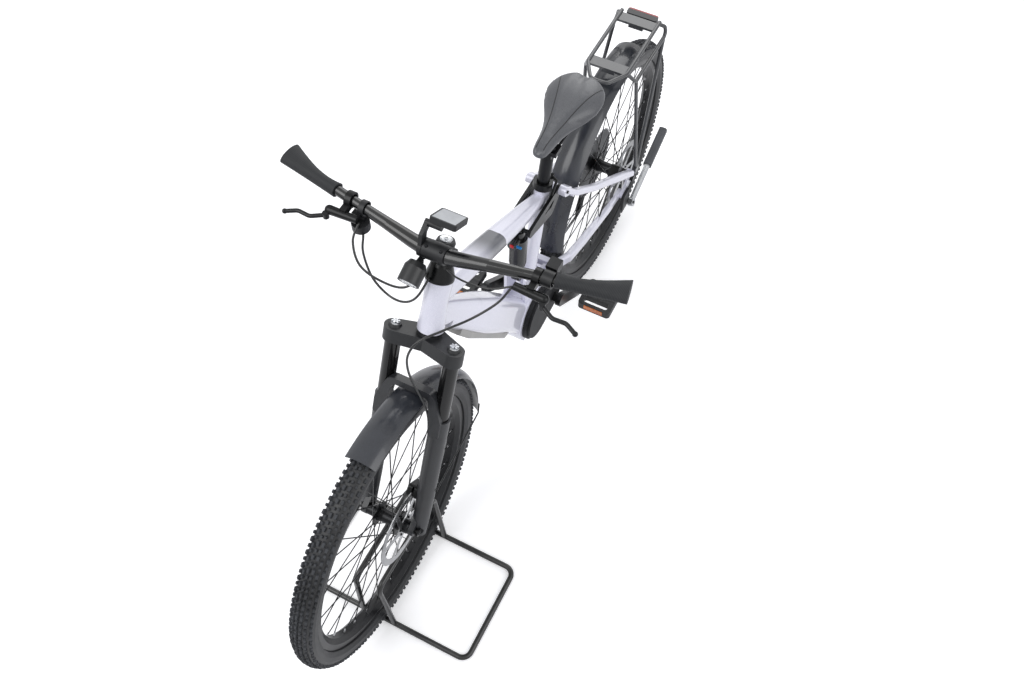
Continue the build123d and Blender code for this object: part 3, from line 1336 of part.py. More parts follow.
with BuildPart() as chain:
    add(chain_band(CHAIN_HALF_WIDTH - CHAIN_LINE, CHAIN_PLATE))
    add(chain_band(CHAIN_PLATE - CHAIN_HALF_WIDTH - CHAIN_LINE, CHAIN_PLATE))
    add([roller(x, z) for x, z, wheel, angle in ROLLERS])
chain.part.label = "chain"
export_step(chain.part, "parts/chain.step")


def geared_disc(x, z, y, teeth, phase, thickness, bore):
    """A sprocket standing upright with a valley at the phase angle."""
    with BuildPart() as disc:
        with BuildSketch(Plane(origin=(x, y + thickness / 2, z), x_dir=(1, 0, 0), z_dir=(0, -1, 0))):
            add(toothed_disc(teeth, TOOTH_GAP), rotation=phase)
            Circle(bore, mode=Mode.SUBTRACT)
        extrude(amount=thickness)
    return disc.part


# Cassette: eleven sprockets on one carrier, the driven one in mesh with the chain
with BuildPart() as cassette:
    with BuildSketch(side(COG_Y[0] + COG_THICKNESS / 2)):
        with Locations((REAR_X, AXLE_Z)):
            Circle(HUB_BARREL + 3)
    extrude(amount=COG_Y[0] - COG_Y[-1] + COG_THICKNESS)
    add(
        [
            geared_disc(REAR_X, AXLE_Z, y, teeth, PHASE[1], COG_THICKNESS, HUB_BARREL + 1)
            for y, teeth in zip(COG_Y, COG_TEETH)
        ]
    )
    add(pin(REAR_X, AXLE_Z, COG_Y[-1] - 10, COG_Y[0] + 10, HUB_BARREL + RUNNING_GAP), mode=Mode.SUBTRACT)
cassette.part.label = "cassette"
export_step(cassette.part, "parts/cassette.step")

# Crankset: the spindle through the motor, two arms and their pedal pins, opposite each other
ARM_IN = MOTOR_HALF_WIDTH + 12
ARM_THICKNESS = 14
SPINDLE_RADIUS = 12
crank_dx = CRANK_LENGTH * cos(radians(CRANK_ANGLE))
crank_dz = CRANK_LENGTH * sin(radians(CRANK_ANGLE))
PEDAL_PLACES = ((1, BB_X + crank_dx, BB_HEIGHT + crank_dz), (-1, BB_X - crank_dx, BB_HEIGHT - crank_dz))
PEDAL_PIN = 6
with BuildPart() as crankset:
    add(pin(BB_X, BB_HEIGHT, -ARM_IN - 8, ARM_IN + 8, SPINDLE_RADIUS))
    for sign, pedal_x, pedal_z in PEDAL_PLACES:
        outer = ARM_IN + ARM_THICKNESS if sign > 0 else -ARM_IN
        add(link_plate([(BB_X, BB_HEIGHT, 19), (pedal_x, pedal_z, 14)], outer, ARM_THICKNESS))
        add(pin(pedal_x, pedal_z, sign * (ARM_IN + 4), sign * (PEDAL_Y + PEDAL_LENGTH / 2 - 4), PEDAL_PIN))
crankset.part.label = "crankset"
export_step(crankset.part, "parts/crankset.step")

# Chainring: toothed ring, four spider arms and a centre that grips the spindle
with BuildPart() as chainring:
    with BuildSketch(side(COG_THICKNESS / 2 - CHAIN_LINE)):
        with Locations(BB):
            add(toothed_disc(RING_TEETH, TOOTH_GAP), rotation=PHASE[0])
            Circle(RING_RADIUS - 14, mode=Mode.SUBTRACT)
            Circle(26)
            with PolarLocations(0, 4, start_angle=PHASE[0]):
                with Locations((RING_RADIUS * 0.5, 0)):
                    Rectangle(RING_RADIUS - 12, 16)
            Circle(SPINDLE_RADIUS + RUNNING_GAP / 2, mode=Mode.SUBTRACT)
    extrude(amount=COG_THICKNESS)
    with BuildSketch(side(-CHAIN_LINE)):
        with Locations(BB):
            Circle(24)
            Circle(SPINDLE_RADIUS + RUNNING_GAP / 2, mode=Mode.SUBTRACT)
    extrude(amount=ARM_IN - CHAIN_LINE - RUNNING_GAP)
chainring.part.label = "chainring"
export_step(chainring.part, "parts/chainring.step")

# Pedals: open cages that turn on the pins
for sign, pedal_x, pedal_z in PEDAL_PLACES:
    with BuildPart() as pedal:
        with BuildSketch(Plane(origin=(pedal_x, sign * PEDAL_Y, pedal_z - PEDAL_HEIGHT / 2))):
            RectangleRounded(PEDAL_WIDTH, PEDAL_LENGTH, 10)
            with Locations((PEDAL_WIDTH / 4 + 2, 0), (-PEDAL_WIDTH / 4 - 2, 0)):
                RectangleRounded(PEDAL_WIDTH / 2 - 24, PEDAL_LENGTH - 24, 6, mode=Mode.SUBTRACT)
        extrude(amount=PEDAL_HEIGHT)
        half = PEDAL_LENGTH / 2
        add(pin(pedal_x, pedal_z, sign * (PEDAL_Y - half), sign * (PEDAL_Y + half), 13))
        add(
            pin(
                pedal_x,
                pedal_z,
                sign * (PEDAL_Y - half - 1),
                sign * (PEDAL_Y + half - 4 + RUNNING_GAP),
                PEDAL_PIN + RUNNING_GAP,
            ),
            mode=Mode.SUBTRACT,
        )
    side_name = "left" if sign > 0 else "right"
    pedal.part.label = f"pedal_{side_name}"
    export_step(pedal.part, f"parts/pedal_{side_name}.step")

# Derailleur: knuckle, parallelogram body, and a cage with two toothed pulleys
with BuildPart() as rear_derailleur:
    cage_out = -CHAIN_LINE - CHAIN_HALF_WIDTH - 1
    add(link_plate([(*GUIDE, 11), (*TENSION, 11)], cage_out, 2.4))
    add(link_plate([(*GUIDE, 11), (*TENSION, 11)], CHAIN_HALF_WIDTH + 3.4 - CHAIN_LINE, 2.4))
    for index, (x, z) in ((2, GUIDE), (3, TENSION)):
        add(geared_disc(x, z, -CHAIN_LINE, PULLEY_TEETH, PHASE[index], COG_THICKNESS, 4))
        add(pin(x, z, CHAIN_HALF_WIDTH + 3.4 - CHAIN_LINE, cage_out - 2.4, 4.5))
    hanger = (REAR_X - 8, AXLE_Z - 34)
    add(link_plate([(*hanger, 10), (REAR_X - 2, AXLE_Z - 8, 9)], -DROPOUT_Y - DROPOUT_THICKNESS - 0.3, 6))
    add(strut((hanger[0], -DROPOUT_Y - 2, hanger[1]), (hanger[0], -DROPOUT_Y - 24, hanger[1]), 10))
    knuckle = Vector(GUIDE[0] - 6, cage_out - 10, GUIDE[1] + 4)
    add(strut((hanger[0], -DROPOUT_Y - 16, hanger[1]), knuckle, 9, 12))
    add(strut(knuckle, (GUIDE[0], cage_out - 1, GUIDE[1]), 12))
rear_derailleur.part.label = "rear_derailleur"
export_step(rear_derailleur.part, "parts/rear_derailleur.step")

with BuildPart() as rear_caliper:
    add(caliper(Vector(REAR_X + 69, REAR_ROTOR_Y, AXLE_Z + 69), 12, -45))
    add(seatstays.part, mode=Mode.SUBTRACT)
    add(pin(REAR_X, AXLE_Z, REAR_ROTOR_Y - 2.2, REAR_ROTOR_Y + 2.2, ROTOR_RADIUS + 2), mode=Mode.SUBTRACT)
rear_caliper.part.label = "rear_caliper"
export_step(rear_caliper.part, "parts/rear_caliper.step")

# Kickstand: a clamp block outside the left dropout and a two-part leg, folded back
KICK_PIVOT = Vector(KICK_PIVOT_X, KICK_PIVOT_Y, KICK_PIVOT_Z)
KICK_DOWN = Vector(0, sin(radians(KICK_TILT)), -cos(radians(KICK_TILT)))
kick_aim = Vector(-1, 0, 0) * cos(radians(KICK_FOLDED)) + KICK_DOWN * sin(radians(KICK_FOLDED))
kick_hinge = Vector(0, cos(radians(KICK_TILT)), sin(radians(KICK_TILT)))
KICK_PIN = 4
KICK_HEAD = 12
with BuildPart() as kickstand_bracket:
    with BuildSketch(side(DROPOUT_Y + DROPOUT_THICKNESS + 0.3 + 8)):
        with Locations((KICK_PIVOT_X + 16, KICK_PIVOT_Z + 22)):
            RectangleRounded(46, 66, 10)
    extrude(amount=8)
    add(strut(KICK_PIVOT - kick_hinge * 12, KICK_PIVOT + kick_hinge * 11, KICK_PIN))
kickstand_bracket.part.label = "kickstand_bracket"
export_step(kickstand_bracket.part, "parts/kickstand_bracket.step")

with BuildPart() as kickstand_leg:
    add(strut(KICK_PIVOT - kick_hinge * 5, KICK_PIVOT + kick_hinge * 9, KICK_HEAD))
    add(strut(KICK_PIVOT + kick_hinge, KICK_PIVOT + kick_aim * KICK_LENGTH * 0.62, 8, 9))
    add(strut(KICK_PIVOT - kick_hinge * 20, KICK_PIVOT + kick_hinge * 20, KICK_PIN + RUNNING_GAP), mode=Mode.SUBTRACT)
kickstand_leg.part.label = "kickstand_leg"
export_step(kickstand_leg.part, "parts/kickstand_leg.step")

with BuildPart() as kickstand_foot:
    sleeve = Plane(origin=KICK_PIVOT + kick_aim * KICK_LENGTH * 0.5, x_dir=(0, 1, 0), z_dir=kick_aim)
    with BuildSketch(sleeve):
        RectangleRounded(24, 26, 8)
    extrude(amount=KICK_LENGTH * 0.5)
    add(strut(KICK_PIVOT, KICK_PIVOT + kick_aim * KICK_LENGTH * 0.63, 9.2), mode=Mode.SUBTRACT)
kickstand_foot.part.label = "kickstand_foot"
export_step(kickstand_foot.part, "parts/kickstand_foot.step")
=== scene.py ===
import json
from math import atan2, cos, pi, radians, sin, sqrt

import bmesh
import bpy
from mathutils import Matrix, Vector


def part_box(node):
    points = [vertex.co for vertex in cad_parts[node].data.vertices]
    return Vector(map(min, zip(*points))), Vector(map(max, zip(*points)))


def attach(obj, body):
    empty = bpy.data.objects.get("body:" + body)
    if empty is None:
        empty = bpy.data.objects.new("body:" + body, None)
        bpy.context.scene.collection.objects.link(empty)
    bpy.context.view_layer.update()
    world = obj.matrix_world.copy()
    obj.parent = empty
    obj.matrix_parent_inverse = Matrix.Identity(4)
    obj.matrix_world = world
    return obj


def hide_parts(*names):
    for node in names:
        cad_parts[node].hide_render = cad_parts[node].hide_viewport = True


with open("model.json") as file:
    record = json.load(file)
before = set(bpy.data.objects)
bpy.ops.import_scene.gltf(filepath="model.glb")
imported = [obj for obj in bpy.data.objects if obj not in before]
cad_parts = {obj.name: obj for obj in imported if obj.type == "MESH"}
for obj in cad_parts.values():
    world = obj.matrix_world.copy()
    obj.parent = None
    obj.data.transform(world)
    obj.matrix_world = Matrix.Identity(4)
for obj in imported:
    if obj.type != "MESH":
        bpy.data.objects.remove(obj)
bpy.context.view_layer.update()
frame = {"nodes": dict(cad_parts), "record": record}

NODES = frame["nodes"]

bl_info = {
    "name": "Mountain Bicycle Looks",
    "version": (1, 0, 0),
    "blender": (4, 5, 0),
    "location": "3D View > Sidebar > Bicycle",
    "description": (
        "Finishes and soft pieces for a full-suspension electric mountain bicycle in a display stand"
    ),
    "category": "Object",
}

# Places shared with the solids, in metres
WHEEL_X = 0.6
AXLE_Z = 0.368
TYRE_RADIUS = 0.368
HEAD_ANGLE = radians(65)
# The fork crown's seat on the steering axis, and how far the crown's underside lies below it
CROWN = Vector((0.340783, 0, 0.819779))
CROWN_DEPTH = 0.0392
# The fork legs stand this far to each side and ahead of the steering axis
LEG_Y = 0.069
LEG_AHEAD = 0.024

# The size of the clouds over which a finish wears, and how far its roughness drifts with them
CLOUD_MM = 90
GLOSS_DRIFT = 0.05
# The setting of a Mix node that mixes colours
COLOURS = {"data_type": "RGBA"}


def linear(code):
    """The linear colour of an sRGB hex code."""
    levels = [int(code[i : i + 2], 16) / 255 for i in (0, 2, 4)]
    return tuple(v / 12.92 if v <= 0.04045 else ((v + 0.055) / 1.055) ** 2.4 for v in levels) + (1.0,)


def add_node(material, kind, settings=None, inputs=None):
    """Adds one node, sets its properties, and fills its sockets with values or other sockets."""
    tree = material.node_tree
    node = tree.nodes.new(kind)
    for name, value in (settings or {}).items():
        setattr(node, name, value)
    for name, value in (inputs or {}).items():
        socket = node.inputs[name]
        if isinstance(value, bpy.types.NodeSocket):
            tree.links.new(value, socket)
        else:
            socket.default_value = value
    return node


def start_material(name):
    """An empty material with its Object coordinates ready to use."""
    material = bpy.data.materials.new(name)
    material.use_nodes = True
    material.node_tree.nodes.clear()
    place = add_node(material, "ShaderNodeTexCoord").outputs["Object"]
    return material, place


def end_material(material, colour, roughness, normal=None, **shader):
    """Joins colour, roughness and bump to the surface, with fixed values on the shader's own sockets."""
    inputs = {"Base Color": colour, "Roughness": roughness}
    if normal is not None:
        inputs["Normal"] = normal
    inputs.update({name.replace("_", " "): value for name, value in shader.items()})
    surface = add_node(material, "ShaderNodeBsdfPrincipled", inputs=inputs)
    add_node(material, "ShaderNodeOutputMaterial", inputs={"Surface": surface.outputs["BSDF"]})
    return material


def speckled(name, low, high, grain_mm, rough, bump_mm=0.0, stretch=(1, 1, 1), **shader):
    """A finish that drifts between two colours over a real grain size, with a fine surface relief."""
    material, place = start_material(name)
    stretched = add_node(material, "ShaderNodeMapping", inputs={"Vector": place, "Scale": stretch})
    drift = add_node(
        material,
        "ShaderNodeTexNoise",
        inputs={
            "Vector": stretched.outputs["Vector"],
            "Scale": 1000 / grain_mm,
            "Detail": 4.0,
            "Roughness": 0.6,
        },
    )
    cloud = add_node(
        material,
        "ShaderNodeTexNoise",
        inputs={"Vector": place, "Scale": 1000 / CLOUD_MM, "Detail": 3.0, "Roughness": 0.55},
    )
    blend = add_node(
        material,
        "ShaderNodeMath",
        {"operation": "MULTIPLY_ADD", "use_clamp": True},
        {0: drift.outputs["Fac"], 1: 0.7, 2: cloud.outputs["Fac"]},
    )
    spread = add_node(
        material,
        "ShaderNodeMapRange",
        inputs={"Value": blend.outputs["Value"], "From Min": 0.6, "From Max": 1.05},
    )
    colour = add_node(
        material, "ShaderNodeMix", COLOURS, {0: spread.outputs["Result"], 6: linear(low), 7: linear(high)}
    )
    gloss = add_node(
        material,
        "ShaderNodeMapRange",
        inputs={
            "Value": cloud.outputs["Fac"],
            "From Min": 0.3,
            "From Max": 0.7,
            "To Min": rough - GLOSS_DRIFT,
            "To Max": rough + GLOSS_DRIFT,
        },
    )
    normal = None
    if bump_mm:
        normal = add_node(
            material,
            "ShaderNodeBump",
            inputs={"Height": drift.outputs["Fac"], "Strength": 0.6, "Distance": bump_mm / 1000},
        ).outputs["Normal"]
    return end_material(material, colour.outputs[2], gloss.outputs["Result"], normal, **shader)


def tail_lamp_finish():
    # Moulded black case, and a red acrylic lens with a wet shine on its rear face
    rear_face = -0.7745
    material, place = start_material("red_lens_in_black_case")
    parts = add_node(material, "ShaderNodeSeparateXYZ", inputs={"Vector": place})
    lens = add_node(
        material, "ShaderNodeMath", {"operation": "LESS_THAN"}, {0: parts.outputs["X"], 1: rear_face}
    )
    # Mould grain of about 2.4 mm, coarse enough to show
    grain = add_node(material, "ShaderNodeTexNoise", inputs={"Vector": place, "Scale": 420.0, "Detail": 3.0})
    tones = [
        add_node(
            material, "ShaderNodeMix", COLOURS, {0: grain.outputs["Fac"], 6: linear(low), 7: linear(high)}
        ).outputs[2]
        for low, high in (("15161A", "222327"), ("6E0408", "A80D14"))
    ]
    colour = add_node(
        material, "ShaderNodeMix", COLOURS, {0: lens.outputs["Value"], 6: tones[0], 7: tones[1]}
    )
    gloss = add_node(
        material,
        "ShaderNodeMapRange",
        inputs={"Value": lens.outputs["Value"], "To Min": 0.42, "To Max": 0.14},
    )
    return end_material(material, colour.outputs[2], gloss.outputs["Result"])


def ribbed_rubber_painted_shade():
    # Grip rubber: charcoal, with fine ribs along the hand and a dull skin, the rib tops painted lighter and
    # the grooves painted darker as light and shade
    rib_mm = 9
    material, place = start_material("grip_rubber_painted_rib_shade")
    rows = add_node(
        material,
        "ShaderNodeTexWave",
        {"wave_type": "BANDS", "bands_direction": "Y"},
        {"Vector": place, "Scale": 1000 / rib_mm, "Distortion": 0.4, "Detail": 1.0},
    )
    # Painted light and shade: the colour follows the ribs' relief, lighter on their tops and darker in the
    # grooves
    tone = add_node(
        material,
        "ShaderNodeMix",
        COLOURS,
        {0: rows.outputs["Fac"], 6: linear("18191B"), 7: linear("2A2C2F")},
    )
    cloud = add_node(material, "ShaderNodeTexNoise", inputs={"Vector": place, "Scale": 60.0, "Detail": 3.0})
    gloss = add_node(
        material,
        "ShaderNodeMapRange",
        inputs={"Value": cloud.outputs["Fac"], "To Min": 0.58, "To Max": 0.72},
    )
    relief = add_node(
        material,
        "ShaderNodeBump",
        inputs={"Height": rows.outputs["Fac"], "Strength": 0.5, "Distance": 0.0004},
    )
    return end_material(
        material, tone.outputs[2], gloss.outputs["Result"], relief.outputs["Normal"], Specular_IOR_Level=0.4
    )


def fork_crown_finish():
    # Matte black forged crown above, and glossy black anodised stanchions below its underside
    material, place = start_material("crown_and_stanchions")
    # Height along the steering axis, from the crown's seat
    parts = add_node(material, "ShaderNodeSeparateXYZ", inputs={"Vector": place})
    seat = cos(HEAD_ANGLE) * CROWN.x - sin(HEAD_ANGLE) * CROWN.z
    ahead = add_node(
        material,
        "ShaderNodeMath",
        {"operation": "MULTIPLY_ADD"},
        {0: parts.outputs["X"], 1: -cos(HEAD_ANGLE), 2: seat},
    )
    height = add_node(
        material,
        "ShaderNodeMath",
        {"operation": "MULTIPLY_ADD"},
        {0: parts.outputs["Z"], 1: sin(HEAD_ANGLE), 2: ahead.outputs["Value"]},
    )
    leg = add_node(
        material, "ShaderNodeMath", {"operation": "LESS_THAN"}, {0: height.outputs["Value"], 1: -CROWN_DEPTH}
    )
    grain = add_node(material, "ShaderNodeTexNoise", inputs={"Vector": place, "Scale": 400, "Detail": 3.0})
    cast = add_node(
        material,
        "ShaderNodeMix",
        COLOURS,
        {0: grain.outputs["Fac"], 6: linear("111214"), 7: linear("232528")},
    )
    colour = add_node(
        material,
        "ShaderNodeMix",
        COLOURS,
        {0: leg.outputs["Value"], 6: cast.outputs[2], 7: linear("050506")},
    )
    gloss = add_node(
        material,
        "ShaderNodeMapRange",
        inputs={"Value": leg.outputs["Value"], "To Min": 0.42, "To Max": 0.12},
    )
    relief = add_node(
        material,
        "ShaderNodeBump",
        inputs={"Height": grain.outputs["Fac"], "Strength": 0.2, "Distance": 0.00004},
    )
    return end_material(material, colour.outputs[2], gloss.outputs["Result"], relief.outputs["Normal"])


def pearl_lacquer():
    # Sprayed pearl lacquer under clear coat on alloy tubes: a pale violet white with a fine flake,
    # and a grey silver fade across the middle of the top tube
    flake_mm = 1.6
    # Where the fade begins and is full along the bicycle, and the rear end and lower edge of its band
    fade_front, fade_full, band_rear, band_floor = 0.19, 0.09, 0.052, 0.715
    material, place = start_material("pearl_lacquer_on_alloy")
    looks = bpy.context.scene.frame_looks
    flake = add_node(material, "ShaderNodeTexVoronoi", inputs={"Vector": place, "Scale": 1000 / flake_mm})
    tone = add_node(
        material,
        "ShaderNodeMix",
        COLOURS,
        {0: flake.outputs["Distance"], 6: tuple(looks.paint_colour) + (1.0,), 7: linear("E6E6F2")},
    )
    parts = add_node(material, "ShaderNodeSeparateXYZ", inputs={"Vector": place})
    along = add_node(
        material,
        "ShaderNodeMapRange",
        {"interpolation_type": "SMOOTHSTEP"},
        {"Value": parts.outputs["X"], "From Min": fade_front, "From Max": fade_full},
    )
    ahead = add_node(
        material, "ShaderNodeMath", {"operation": "GREATER_THAN"}, {0: parts.outputs["X"], 1: band_rear}
    )
    above = add_node(
        material, "ShaderNodeMath", {"operation": "GREATER_THAN"}, {0: parts.outputs["Z"], 1: band_floor}
    )
    band = add_node(
        material,
        "ShaderNodeMath",
        {"operation": "MULTIPLY"},
        {0: ahead.outputs["Value"], 1: above.outputs["Value"]},
    )
    fade = add_node(
        material,
        "ShaderNodeMath",
        {"operation": "MULTIPLY"},
        {0: band.outputs["Value"], 1: along.outputs["Result"]},
    )
    colour = add_node(
        material,
        "ShaderNodeMix",
        COLOURS,
        {0: fade.outputs["Value"], 6: tone.outputs[2], 7: tuple(looks.band_colour) + (1.0,)},
    )
    cloud = add_node(material, "ShaderNodeTexNoise", inputs={"Vector": place, "Scale": 12.0, "Detail": 3.0})
    gloss = add_node(
        material, "ShaderNodeMapRange", inputs={"Value": cloud.outputs["Fac"], "To Min": 0.26, "To Max": 0.4}
    )
    relief = add_node(
        material,
        "ShaderNodeBump",
        inputs={"Height": flake.outputs["Distance"], "Strength": 0.05, "Distance": 0.0001},
    )
    return end_material(
        material,
        colour.outputs[2],
        gloss.outputs["Result"],
        relief.outputs["Normal"],
        Metallic=0.12,
        Coat_Weight=1.0,
        Coat_Roughness=0.06,
    )


def build_finishes():
    """Every finish by the material slot of the record that it dresses."""
    return {
        "frame_paint": pearl_lacquer(),
        # Anodised alloy skin: grey silver, slightly brushed
        "cover_grey": speckled(
            "anodised_grey_cover", "8E8D8C", "A9A8A6", 3, 0.38, 0.02, (1, 1, 8), Metallic=0.35
        ),
        # Moulded reinforced nylon over the motor: dull black with a spark-eroded grain
        "motor_black": speckled(
            "moulded_nylon", "121315", "1E1F22", 1.1, 0.55, 0.06, Specular_IOR_Level=0.3
        ),
        # Black anodised alloy fittings: deep black with a soft sheen
        "black_metal": speckled("black_anodised_alloy", "0A0B0C", "17181A", 4, 0.3, 0.01, Metallic=0.5),
        # Hard anodised shock can: glossy black
        "shock_black": speckled(
            "hard_anodised_can", "0C0D0F", "16171A", 6, 0.22, 0, Metallic=0.4, Coat_Weight=0.4
        ),
        # Anodised seatpost: black with fine upright brushing
        "seatpost_black": speckled(
            "anodised_post", "0F1012", "1A1B1E", 5, 0.3, 0.01, (6, 6, 1), Metallic=0.6
        ),
        # Vinyl of the plain saddle solid, under the padded one: dull charcoal
        "saddle_vinyl": speckled("grained_vinyl_base", "1C1D1F", "2A2B2E", 1.4, 0.6, 0.12),
        # Injection moulded guard: dark slate plastic with a satin skin
        "guard_grey": speckled("satin_guard_plastic", "1E2026", "2F3239", 2.2, 0.3, 0.015, Coat_Weight=0.3),
        # Powder coat on the rack's tubes: black with orange peel
        "rack_black": speckled("powder_coated_rack", "26272A", "3F4145", 1.6, 0.3, 0.05, Coat_Weight=0.6),
        "lamp_red": tail_lamp_finish(),
        # Nickel plated chain, oiled: grey steel with darker joints
        "chain_steel": speckled("oiled_chain_plates", "3A3B3D", "8C8D90", 6, 0.34, 0.03, Metallic=0.9),
        # Forged and anodised derailleur: black with a satin edge
        "derailleur_black": speckled("forged_black_cage", "141517", "232427", 4, 0.35, 0.01, Metallic=0.5),
        # Moulded nylon of the switches: black with a fine grain
        "plastic_black": speckled(
            "moulded_black_housing", "101113", "1B1C1F", 1.2, 0.45, 0.05, Specular_IOR_Level=0.4
        ),
        # Magnesium casting under matte charcoal lacquer
        "fork_grey": speckled(
            "matte_charcoal_lacquer", "17181B", "27292D", 2.4, 0.4, 0.02, Coat_Weight=0.15
        ),
        # Shot-peened alloy stem: matte black with tiny dimples
        "stem_black": speckled("shot_peened_stem", "111214", "1D1E21", 1.3, 0.45, 0.04, Metallic=0.3),
        # Lacquered alloy bar: smooth black with a clear shine
        "bar_black": speckled("satin_black_bar", "08090A", "131416", 2.5, 0.24, 0.01, Coat_Weight=0.3),
        "grip_rubber": ribbed_rubber_painted_shade(),
        # Cast levers under thin lacquer: smooth black
        "lever_black": speckled("black_lever_lacquer", "0E0F11", "1A1B1D", 5, 0.3, 0, Metallic=0.4),
        # Moulded lamp housing: black with a light grain
        "lamp_shell": speckled("black_lamp_housing", "101113", "1D1E20", 1.4, 0.4, 0.04),
        # Powder coated steel tube of the stand: black with orange peel
        "stand_black": speckled(
            "powder_coated_steel_tube", "08090A", "121315", 1.5, 0.32, 0.05, Coat_Weight=0.3
        ),
        # Tyre rubber: dark grey with a dry bloom
        "tyre": speckled("tyre_rubber", "232427", "35373B", 1.8, 0.75, 0.12),
        # Anodised rim: black with a soft line of light
        "rim_black": speckled("black_rim", "101113", "1D1E21", 6, 0.34, 0, Metallic=0.45),
        # Blackened stainless spokes and hub: thin dark glints
        "spoke_black": speckled("black_spokes_and_hub", "0F1012", "1E1F22", 6, 0.3, 0, Metallic=0.6),
        # Stamped stainless rotor: pale grey, brushed
        "rotor_steel": speckled("stainless_rotor", "8E8F92", "C9CACC", 1.2, 0.3, 0.03, Metallic=1.0),
        # Black plated sprockets: dark steel, worn grey where the chain runs
        "cog_steel": speckled("black_plated_sprockets", "2B2C2F", "5E6064", 3, 0.32, 0.02, Metallic=0.9),
        # Forged and anodised cranks: black with a soft sheen
        "crank_black": speckled("forged_black_crank", "101113", "1C1D20", 4, 0.33, 0.01, Metallic=0.45),
        # Moulded nylon pedals: dull charcoal
        "pedal_black": speckled("moulded_pedal_nylon", "17181A", "262729", 1.2, 0.55, 0.06),
        # Polished alloy kickstand leg: bright, with a satin drift
        "silver_metal": speckled("satin_polished_alloy", "A9ABAE", "CBCDD0", 3, 0.28, 0.02, Metallic=0.95),
    }


def dress(finish_by_slot):
    """Gives every CAD node the finish of its record slot."""
    for entry in frame["record"]["subparts"]:
        node = NODES.get(entry["node"])
        if node is None:
            continue
        finish = finish_by_slot[entry["material_slot"]]
        if not node.material_slots:
            node.data.materials.append(finish)
        for spot in node.material_slots:
            spot.material = finish
    for name, finish in (
        ("fork_crown", fork_crown_finish()),
        # Textured sleeve and foot of the kickstand: worn dark grey rubber
        ("kickstand_foot", speckled("kickstand_sleeve", "35373B", "505257", 1.8, 0.6, 0.1)),
    ):
        for spot in NODES[name].material_slots:
            spot.material = finish


def steer_shift(ahead, left, height):
    """A shift ahead of, left of and up along the steering axis."""
    return Vector(
        (
            ahead * sin(HEAD_ANGLE) - height * cos(HEAD_ANGLE),
            left,
            ahead * cos(HEAD_ANGLE) + height * sin(HEAD_ANGLE),
        )
    )


def steer_place(ahead, left, height):
    """The place that such a shift reaches from the crown's seat."""
    return CROWN + steer_shift(ahead, left, height)


def finished(name, shape, material, body, smooth=True):
    """A mesh object at the origin from a bmesh, dressed and riding on its body."""
    mesh = bpy.data.meshes.new(name)
    bmesh.ops.recalc_face_normals(shape, faces=shape.faces)
    shape.to_mesh(mesh)
    shape.free()
    for face in mesh.polygons:
        face.use_smooth = smooth
    mesh.materials.append(material)
    piece = bpy.data.objects.new(name, mesh)
    bpy.context.scene.collection.objects.link(piece)
    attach(piece, body)
    return piece


# Knob rows of the tread: sideways place, length round the tyre, width, height, and share of the pitch
KNOB_ROWS = (
    (0.0052, 0.0125, 0.0068, 0.0062, 0.0),
    (-0.0052, 0.0125, 0.0068, 0.0062, 0.06),
    (0.0040, 0.0075, 0.0052, 0.0058, 0.5),
    (-0.0040, 0.0075, 0.0052, 0.0058, 0.56),
    (0.0140, 0.0110, 0.0066, 0.0060, 0.28),
    (-0.0140, 0.0110, 0.0066, 0.0060, 0.34),
    (0.0148, 0.0072, 0.0060, 0.0052, 0.72),
    (-0.0148, 0.0072, 0.0060, 0.0052, 0.78),
    (0.0236, 0.0120, 0.0072, 0.0056, 0.03),
    (-0.0236, 0.0120, 0.0072, 0.0056, 0.09),
    (0.0246, 0.0085, 0.0058, 0.0052, 0.53),
    (-0.0246, 0.0085, 0.0058, 0.0052, 0.59),
)
# The knobs' tops are smaller than their feet, every second knob is shorter, all are rooted a little
# in the carcass, and their sides fan out from a line this far under the tread
KNOB_TAPER = (0.78, 0.76)
SHORT_KNOB = 0.86
KNOB_ROOT = 0.0006
KNOB_FAN = 0.036


def tread_radius(across, radius):
    """The carcass radius at a sideways place on the tread's flattened arch."""
    arch = 0.030
    flatness = 0.82
    return radius - arch + sqrt(max(arch * arch - across * across * flatness, 0))


